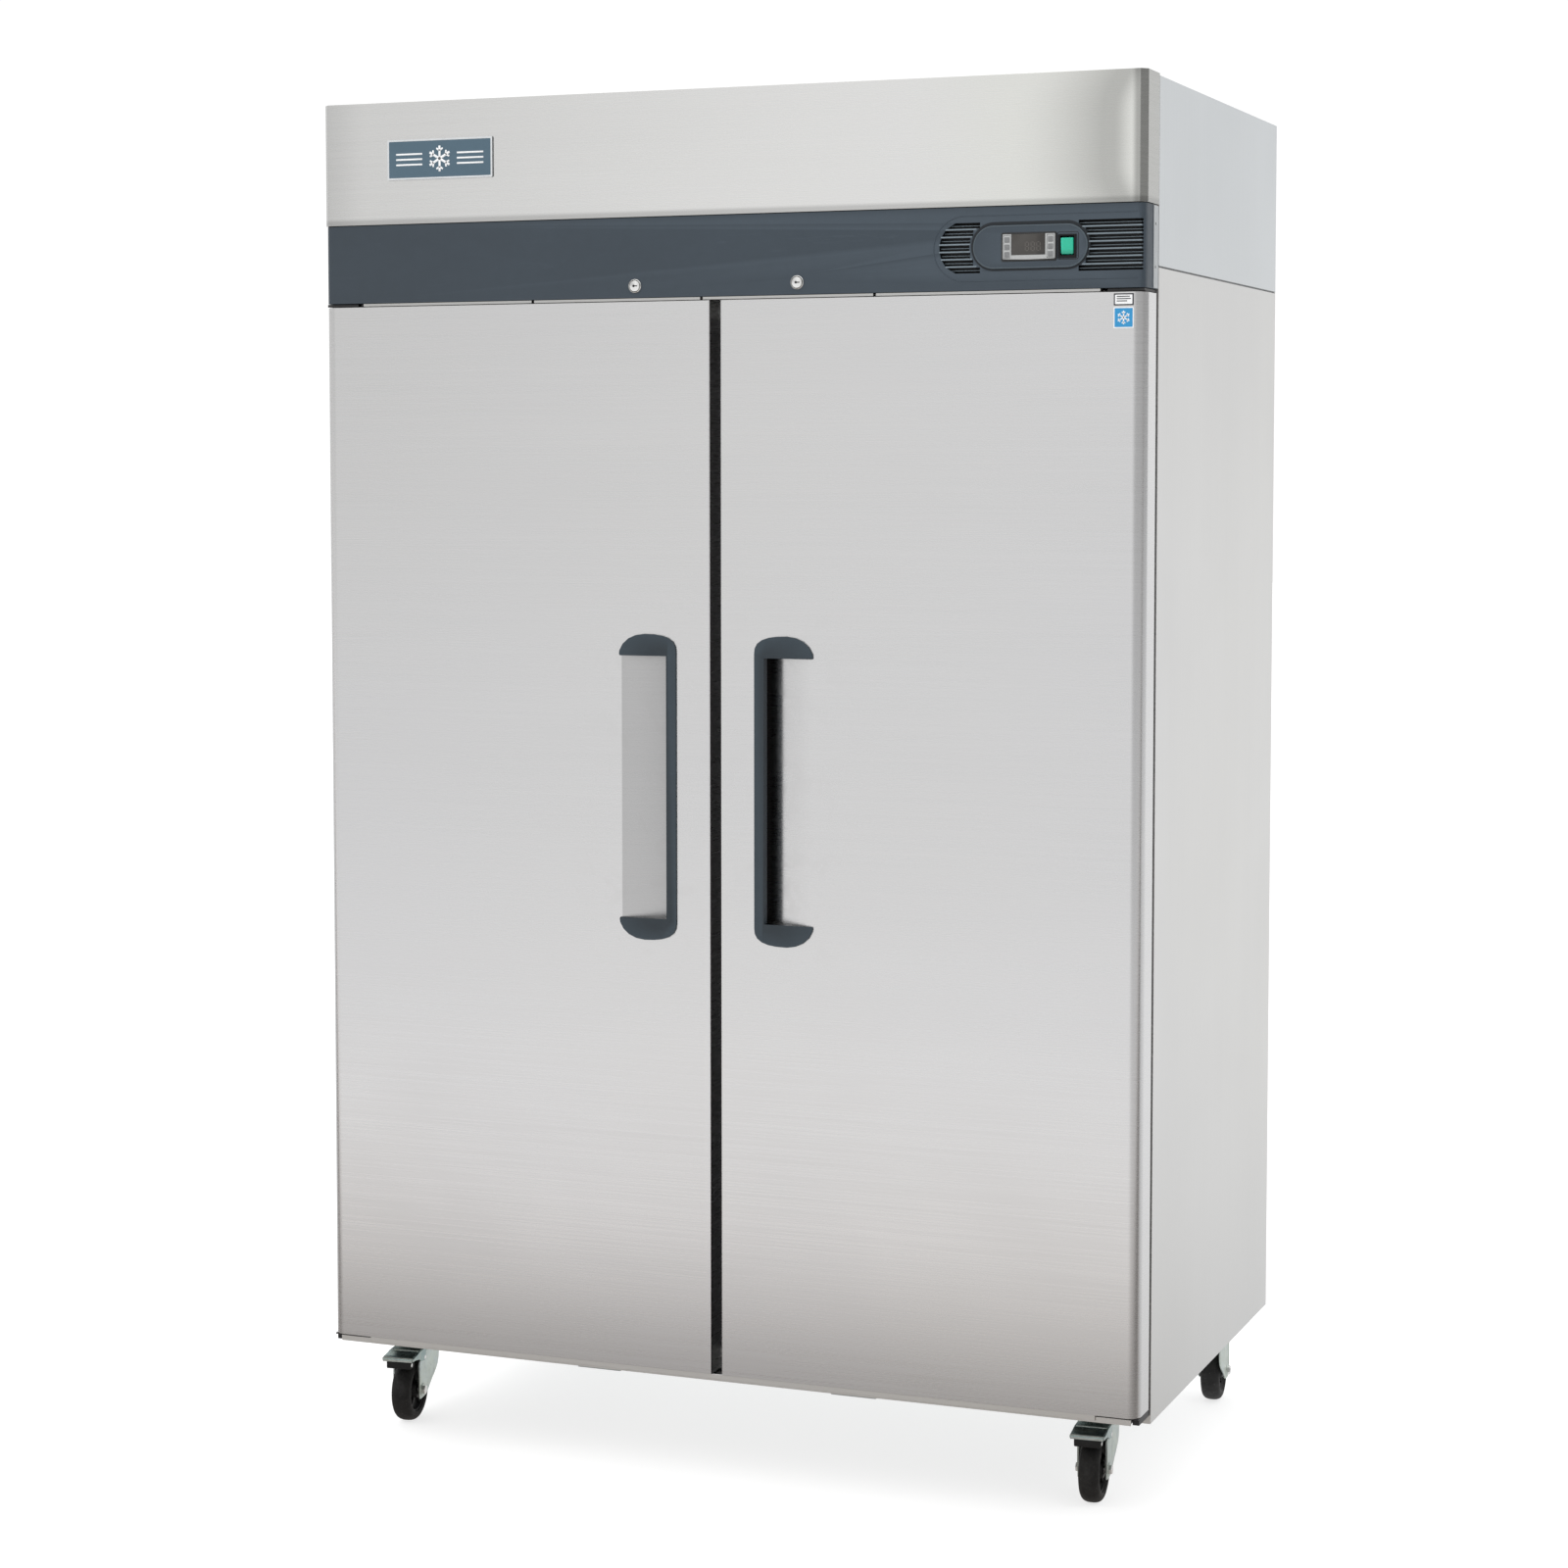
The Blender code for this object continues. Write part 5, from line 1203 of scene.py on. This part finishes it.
def caster_looks(tag, x, y, heading, brake):
    at = Matrix.Translation((x, y, 0)) @ Matrix.Rotation(math.radians(heading), 4, "Z")
    wheel_body, fork_body = NODE_BODY[f"caster_{tag}_wheel"], NODE_BODY[f"caster_{tag}_fork"]
    half = [
        (0.0338, 0.0118), (0.0344, 0.0140), (0.0356, 0.0154), (0.0375, 0.0159), (0.0405, 0.0159), (0.0432, 0.0152),
        (0.0456, 0.0138), (0.0475, 0.0118), (0.0488, 0.0093), (0.0496, 0.0062), (0.0500, 0.0030), (0.0500, 0.0),
    ]
    section = half + [(r, -w) for r, w in reversed(half[:-1])]
    section += [(0.0330, -0.0100), (0.0330, 0.0100)]
    make(f"tyre_{tag}", place(lathe_bm(section, AXLE, (1, 0, 0), 56, closed=True), at), TYRE, wheel_body, [f"caster_{tag}_wheel"], sharp=40)
    hub = [
        (0.0066, 0.0154), (0.0118, 0.0154), (0.0128, 0.0146), (0.0135, 0.0110), (0.0150, 0.0062), (0.0300, 0.0052), (0.0318, 0.0070),
        (0.0326, 0.0118), (0.0336, 0.0122), (0.0336, 0.0),
    ]
    section = hub + [(r, -w) for r, w in reversed(hub[:-1])]
    rim = place(lathe_bm(section, AXLE, (1, 0, 0), 48, closed=True), at)
    for side in (-1, 1):
        for k in range(5):
            turn = Matrix.Translation(AXLE) @ Matrix.Rotation(2 * math.pi * k / 5, 4, "X") @ Matrix.Translation((0, 0, 0.0225))
            rib = box_bm((side * 0.0045, -0.0011, -0.0095), (side * 0.0105, 0.0011, 0.0095), 0.0005, 1)
            merge(rim, place(rib, at @ turn))
    make(f"wheel_hub_{tag}", rim, BLACK, wheel_body, sharp=40)

    # fork: swivel race, crown, two pressed legs with turned-out front edges
    fork = bmesh.new()
    merge(fork, lathe_bm([(0, 0.1110), (0.0262, 0.1110), (0.0290, 0.1122), (0.0300, 0.1145), (0.0300, 0.1190), (0.0285, 0.1210), (0.0268, 0.1216), (0.0268, 0.1235), (0, 0.1235)], (0, 0, 0), (0, 0, 1), 40))
    merge(fork, box_bm((-0.0222, -0.0350, 0.1086), (0.0222, 0.0385, 0.1114), 0.0010, 2))
    leg = [
        (0.0380, 0.1110), (0.0400, 0.1060), (0.0404, 0.0980), (0.0400, 0.0895), (0.0378, 0.0815), (0.0340, 0.0752), (0.0285, 0.0698),
        (0.0200, 0.0640), (0.0080, 0.0570), (-0.0040, 0.0488), (-0.0130, 0.0420), (-0.0200, 0.0388), (-0.0300, 0.0374), (-0.0420, 0.0368),
        (-0.0470, 0.0374), (-0.0495, 0.0400), (-0.0498, 0.0450), (-0.0496, 0.0930), (-0.0484, 0.1000), (-0.0450, 0.1062), (-0.0390, 0.1100),
        (-0.0340, 0.1110),
    ]
    for s in (-1, 1):
        lo, hi = sorted((s * 0.0201, s * 0.0225))
        merge(fork, prism_bm(leg, "YZ", lo, hi, 0.0005, 1))
        # folded lip along the leg's front edge
        lip = [(-0.0488, 0.0480), (-0.0488, 0.0700), (-0.0488, 0.0930), (-0.0474, 0.0995), (-0.0440, 0.1052), (-0.0385, 0.1092)]
        merge(fork, tube_bm([(s * 0.0221, a, b) for a, b in lip], 0.0012, 8))
        # pressed boss round the axle
        merge(fork, lathe_bm([(0.0062, 0), (0.0108, 0), (0.0100, 0.0012), (0.0062, 0.0012)], (s * 0.0223, AXLE[1], AXLE[2]), (s, 0, 0), 28, closed=True))
    make(f"fork_{tag}", place(fork, at), ZINC, fork_body, [f"caster_{tag}_fork"], sharp=38)
    axle = bmesh.new()
    merge(axle, cyl_bm((-0.0215, AXLE[1], AXLE[2]), (0.0215, AXLE[1], AXLE[2]), 0.0058, 20))
    for s, r in ((-1, 0.0074), (1, 0.0074)):
        merge(axle, lathe_bm([(0, 0), (r, 0), (r, 0.0040), (r * 0.86, 0.0050), (0, 0.0050)], (s * 0.0228, AXLE[1], AXLE[2]), (s, 0, 0), 6))
    merge(axle, lathe_bm([(0, 0), (0.0038, 0), (0.0038, 0.0054), (0.0032, 0.0060), (0, 0.0060)], (-0.0221, AXLE[1], AXLE[2]), (-1, 0, 0), 16))
    make(f"axle_bolt_{tag}", place(axle, at), CHROME, fork_body, sharp=30)

    if brake:
        brake_body = NODE_BODY[f"caster_{tag}_brake"]
        # pressed pedal: level at the back, bent down towards the front and turned under at its lip
        top = [(-0.0335, 0.1195), (-0.0520, 0.1195), (-0.0560, 0.1192), (-0.0600, 0.1184), (-0.0700, 0.1172), (-0.0800, 0.1163), (-0.0860, 0.1157), (-0.0886, 0.1148), (-0.0898, 0.1132), (-0.0899, 0.1084)]
        under = [(-0.0884, 0.1082), (-0.0883, 0.1126), (-0.0874, 0.1136), (-0.0852, 0.1142), (-0.0798, 0.1148), (-0.0698, 0.1157), (-0.0598, 0.1169), (-0.0556, 0.1177), (-0.0518, 0.1180), (-0.0335, 0.1180)]
        pedal = prism_bm(top + under, "YZ", -0.0252, 0.0252, 0.0004, 1)
        for s in (-1, 1):
            arm = [(-0.0295, 0.1190), (-0.0295, 0.0995), (-0.0330, 0.0988), (-0.0480, 0.1000), (-0.0590, 0.1060), (-0.0760, 0.1088), (-0.0870, 0.1092), (-0.0870, 0.1138), (-0.0700, 0.1160), (-0.0560, 0.1184)]
            lo, hi = sorted((s * 0.0243, s * 0.0263))
            merge(pedal, prism_bm(arm, "YZ", lo, hi, 0.0004, 1))
        # raised bead across the tread, and the rolled lip, in a lighter copy of the zinc: painted highlight
        ridge = joined(
            tube_bm([(-0.0235, -0.0575, 0.1189), (0.0235, -0.0575, 0.1189)], 0.0012, 8),
            tube_bm([(-0.0254, -0.0868, 0.1096), (-0.0254, -0.0880, 0.1128), (-0.0245, -0.0886, 0.1142), (0.0245, -0.0886, 0.1142), (0.0254, -0.0880, 0.1128), (0.0254, -0.0868, 0.1096)], 0.0012, 8),
            box_bm((-0.0245, -0.0899, 0.1084), (0.0245, -0.0890, 0.1120), 0.0003, 1),
        )
        make(f"brake_ridge_{tag}", place(ridge, at), PEDAL_LIP_HIGHLIGHT, brake_body, sharp=38)
        make(f"brake_pedal_{tag}", place(pedal, at), PEDAL, brake_body, [f"caster_{tag}_brake"], sharp=38)
        pad = joined(
            box_bm((-0.0205, -0.0862, 0.0958), (0.0205, -0.0680, 0.1100), 0.0018, 2),
            box_bm((-0.0150, -0.0850, 0.1090), (0.0150, -0.0690, 0.1160), 0.0008, 1),
        )
        make(f"brake_pad_{tag}", place(pad, at), PAD, brake_body)
        pins = joined(
            *[lathe_bm([(0, 0), (0.0036, 0), (0.0033, 0.0007), (0, 0.0009)], (side * 0.0258, -0.0335, 0.1035), (side, 0, 0), 16) for side in (-1, 1)],
            *[lathe_bm([(0, 0), (0.0032, 0), (0.0029, 0.0008), (0, 0.0010)], (side * 0.0202, -0.0800, 0.1020), (side, 0, 0), 16) for side in (-1, 1)],
        )
        make(f"brake_pins_{tag}", place(pins, at), CHROME, brake_body, sharp=40)


for spec in CASTERS:
    caster_looks(*spec)


# ================================================================ studio
def stage_plane(name, x0, x1, y0, y1, z, mat):
    mesh = bpy.data.meshes.new(name)
    mesh.from_pydata([(x0, y0, z), (x1, y0, z), (x1, y1, z), (x0, y1, z)], [], [(0, 1, 2, 3)])
    mesh.materials.append(mat)
    obj = bpy.data.objects.new(name, mesh)
    bpy.context.scene.collection.objects.link(obj)
    return obj


floor_mat = bpy.data.materials.new("floor")
floor_mat.use_nodes = True
tree = floor_mat.node_tree
tree.nodes.clear()


def stage_math(operation, *values, clamp=False):
    made = tree.nodes.new("ShaderNodeMath")
    made.operation, made.use_clamp = operation, clamp
    for i, value in enumerate(values):
        if isinstance(value, (int, float)):
            made.inputs[i].default_value = value
        else:
            tree.links.new(value, made.inputs[i])
    return made.outputs[0]


def stage_ramp(value, lo, hi, to_lo=0.0, to_hi=1.0):
    made = tree.nodes.new("ShaderNodeMapRange")
    made.interpolation_type = "SMOOTHSTEP"
    made.inputs["From Min"].default_value, made.inputs["From Max"].default_value = lo, hi
    made.inputs["To Min"].default_value, made.inputs["To Max"].default_value = to_lo, to_hi
    tree.links.new(value, made.inputs["Value"])
    return made.outputs["Result"]


def stage_curve(value, levels, lo, hi, top=1.25):
    """A smooth curve through (position, level) pairs."""
    made = tree.nodes.new("ShaderNodeFloatCurve")
    points = made.mapping.curves[0].points
    made.mapping.use_clip = False
    for i, (position, level) in enumerate(levels):
        spot = ((position - lo) / (hi - lo), level / top)
        if i == 0:
            points[0].location = spot
        elif i == len(levels) - 1:
            points[-1].location = spot
        else:
            points.new(*spot)
    made.mapping.update()
    tree.links.new(stage_math("DIVIDE", stage_math("SUBTRACT", value, lo), hi - lo, clamp=True), made.inputs["Value"])
    return stage_math("MULTIPLY", made.outputs[0], top)


# seen directly the floor is a pale sweep that takes soft shadows; what the steel mirrors is darker close to the doors
out = tree.nodes.new("ShaderNodeOutputMaterial")
add = tree.nodes.new("ShaderNodeAddShader")
diffuse = tree.nodes.new("ShaderNodeBsdfDiffuse")
diffuse.inputs["Color"].default_value = (0.42, 0.42, 0.42, 1)
glow = tree.nodes.new("ShaderNodeEmission")
glow.inputs["Color"].default_value = (1, 1, 1, 1)
glow.inputs["Strength"].default_value = 0.72
tree.links.new(diffuse.outputs[0], add.inputs[0])
tree.links.new(glow.outputs[0], add.inputs[1])
coord = tree.nodes.new("ShaderNodeTexCoord")
apart = tree.nodes.new("ShaderNodeSeparateXYZ")
tree.links.new(coord.outputs["Object"], apart.inputs[0])
ahead = stage_math("SUBTRACT", -0.402, apart.outputs["Y"])
FLOOR_LEVELS = (
    (-6.0, 1.02), (-2.6, 1.0), (-1.2, 0.90), (-0.3, 0.70), (0.0, 0.36), (0.55, 0.29), (0.75, 0.48), (1.0, 0.86), (1.4, 1.20), (1.9, 1.34),
    (2.6, 1.33), (3.3, 1.19), (4.5, 1.04), (6.0, 0.98), (10.0, 0.97),
)
strength = stage_curve(ahead, FLOOR_LEVELS, -6.0, 10.0, 1.45)
# darker room towards the right front of the cabinet
across = stage_math("SUBTRACT", apart.outputs["X"], 0.75)
beside = stage_math("MULTIPLY", stage_ramp(across, 0.05, 0.9), stage_ramp(ahead, -1.0, 0.0))
strength = stage_math("MULTIPLY", strength, stage_math("MULTIPLY_ADD", beside, -0.25, 1.0))
bounce = tree.nodes.new("ShaderNodeEmission")
tint = tree.nodes.new("ShaderNodeMix")
tint.data_type = "RGBA"
tint.inputs["A"].default_value = (1.0, 0.925, 0.875, 1)
tint.inputs["B"].default_value = (1.0, 1.0, 1.0, 1)
tree.links.new(stage_math("MAXIMUM", stage_ramp(ahead, 0.7, 2.4), stage_ramp(ahead, 0.0, -0.5)), tint.inputs["Factor"])
tree.links.new(tint.outputs["Result"], bounce.inputs["Color"])
tree.links.new(strength, bounce.inputs["Strength"])
rays = tree.nodes.new("ShaderNodeLightPath")
choose = tree.nodes.new("ShaderNodeMixShader")
tree.links.new(rays.outputs["Is Camera Ray"], choose.inputs["Fac"])
tree.links.new(bounce.outputs[0], choose.inputs[1])
tree.links.new(add.outputs[0], choose.inputs[2])
tree.links.new(choose.outputs[0], out.inputs["Surface"])
stage_plane("studio_floor", -40, 40, -40, 40, -0.0002, floor_mat)

# studio surround: bright walls in front, at the left and behind, darker towards the right front
world = bpy.data.worlds.new("studio")
bpy.context.scene.world = world
world.use_nodes = True
tree = world.node_tree
tree.nodes.clear()
out = tree.nodes.new("ShaderNodeOutputWorld")
back = tree.nodes.new("ShaderNodeBackground")
coord = tree.nodes.new("ShaderNodeTexCoord")
apart = tree.nodes.new("ShaderNodeSeparateXYZ")
tree.links.new(coord.outputs["Generated"], apart.inputs[0])
minus = tree.nodes.new("ShaderNodeMath")
minus.operation = "MULTIPLY"
minus.inputs[1].default_value = -1.0
tree.links.new(apart.outputs["Y"], minus.inputs[0])
angle = stage_math("DEGREES", stage_math("ARCTAN2", apart.outputs["X"], minus.outputs[0]))
REST = ((0, 0.80), (15, 0.57), (30, 0.48), (60, 0.46), (90, 0.38), (113, 0.33), (138, 0.38), (150, 0.62), (160, 0.98), (168, 1.08), (180, 1.05))
LOW = ((-180, 1.05), (-150, 0.92), (-110, 0.84), (-75, 0.90), (-60, 0.92), (-45, 0.90), (-35, 0.89), (-29, 0.95), (-22, 1.04), (-15, 0.99), (-10, 0.93)) + REST
HIGH = ((-180, 1.05), (-150, 0.92), (-110, 0.80), (-60, 0.60), (-42, 0.58), (-35, 0.64), (-29.4, 0.75), (-25, 0.90), (-22, 1.00), (-19, 1.07), (-16, 1.05), (-12, 0.95), (-7, 0.86)) + REST
low, high = stage_curve(angle, LOW, -180, 180), stage_curve(angle, HIGH, -180, 180)
rise = stage_ramp(apart.outputs["Z"], 0.050, 0.080)
around = stage_math("ADD", stage_math("MULTIPLY", low, stage_math("SUBTRACT", 1.0, rise)), stage_math("MULTIPLY", high, rise))
# overhead softbox: brighter above, so that tops and upper edges read lighter
lift = tree.nodes.new("ShaderNodeMapRange")
lift.interpolation_type = "SMOOTHSTEP"
lift.inputs["From Min"].default_value = 0.25
lift.inputs["From Max"].default_value = 0.85
lift.inputs["To Min"].default_value = 0.0
lift.inputs["To Max"].default_value = 0.75
tree.links.new(apart.outputs["Z"], lift.inputs["Value"])
tree.links.new(stage_math("ADD", around, lift.outputs["Result"]), back.inputs["Strength"])
back.inputs["Color"].default_value = (1, 1, 1, 1)
white = tree.nodes.new("ShaderNodeBackground")
white.inputs["Color"].default_value = (1, 1, 1, 1)
white.inputs["Strength"].default_value = 1.05
rays = tree.nodes.new("ShaderNodeLightPath")
choose = tree.nodes.new("ShaderNodeMixShader")
tree.links.new(rays.outputs["Is Camera Ray"], choose.inputs["Fac"])
tree.links.new(back.outputs[0], choose.inputs[1])
tree.links.new(white.outputs[0], choose.inputs[2])
tree.links.new(choose.outputs[0], out.inputs["Surface"])


def softbox(name, at, towards, size, power):
    data = bpy.data.lights.new(name, "AREA")
    data.shape = "RECTANGLE"
    data.size, data.size_y = size
    data.energy = power
    obj = bpy.data.objects.new(name, data)
    bpy.context.scene.collection.objects.link(obj)
    obj.location = at
    obj.rotation_euler = (Vector(towards) - Vector(at)).to_track_quat("-Z", "Y").to_euler()
    obj.visible_glossy = False
    return obj


softbox("key", (-2.6, -3.6, 4.2), (0, 0, 1.0), (2.4, 2.4), 60)
softbox("fill", (3.8, -1.2, 3.0), (0.3, 0, 1.0), (2.0, 2.0), 25)

# ================================================================ camera
camera = bpy.data.cameras.new("camera")
camera.sensor_width = 36.0
camera.lens = 75.06
camera.shift_x = -0.0014
camera.shift_y = -0.0674
camera.clip_start, camera.clip_end = 0.1, 200
eye = bpy.data.objects.new("camera", camera)
bpy.context.scene.collection.objects.link(eye)
eye.location = (1.8724, -4.8941, 1.5399)
eye.rotation_euler = (math.pi / 2 - 0.0632, 0.0, 0.3732)
bpy.context.scene.camera = eye
bpy.context.scene.view_settings.view_transform = "Standard"

bpy.context.view_layer.update()
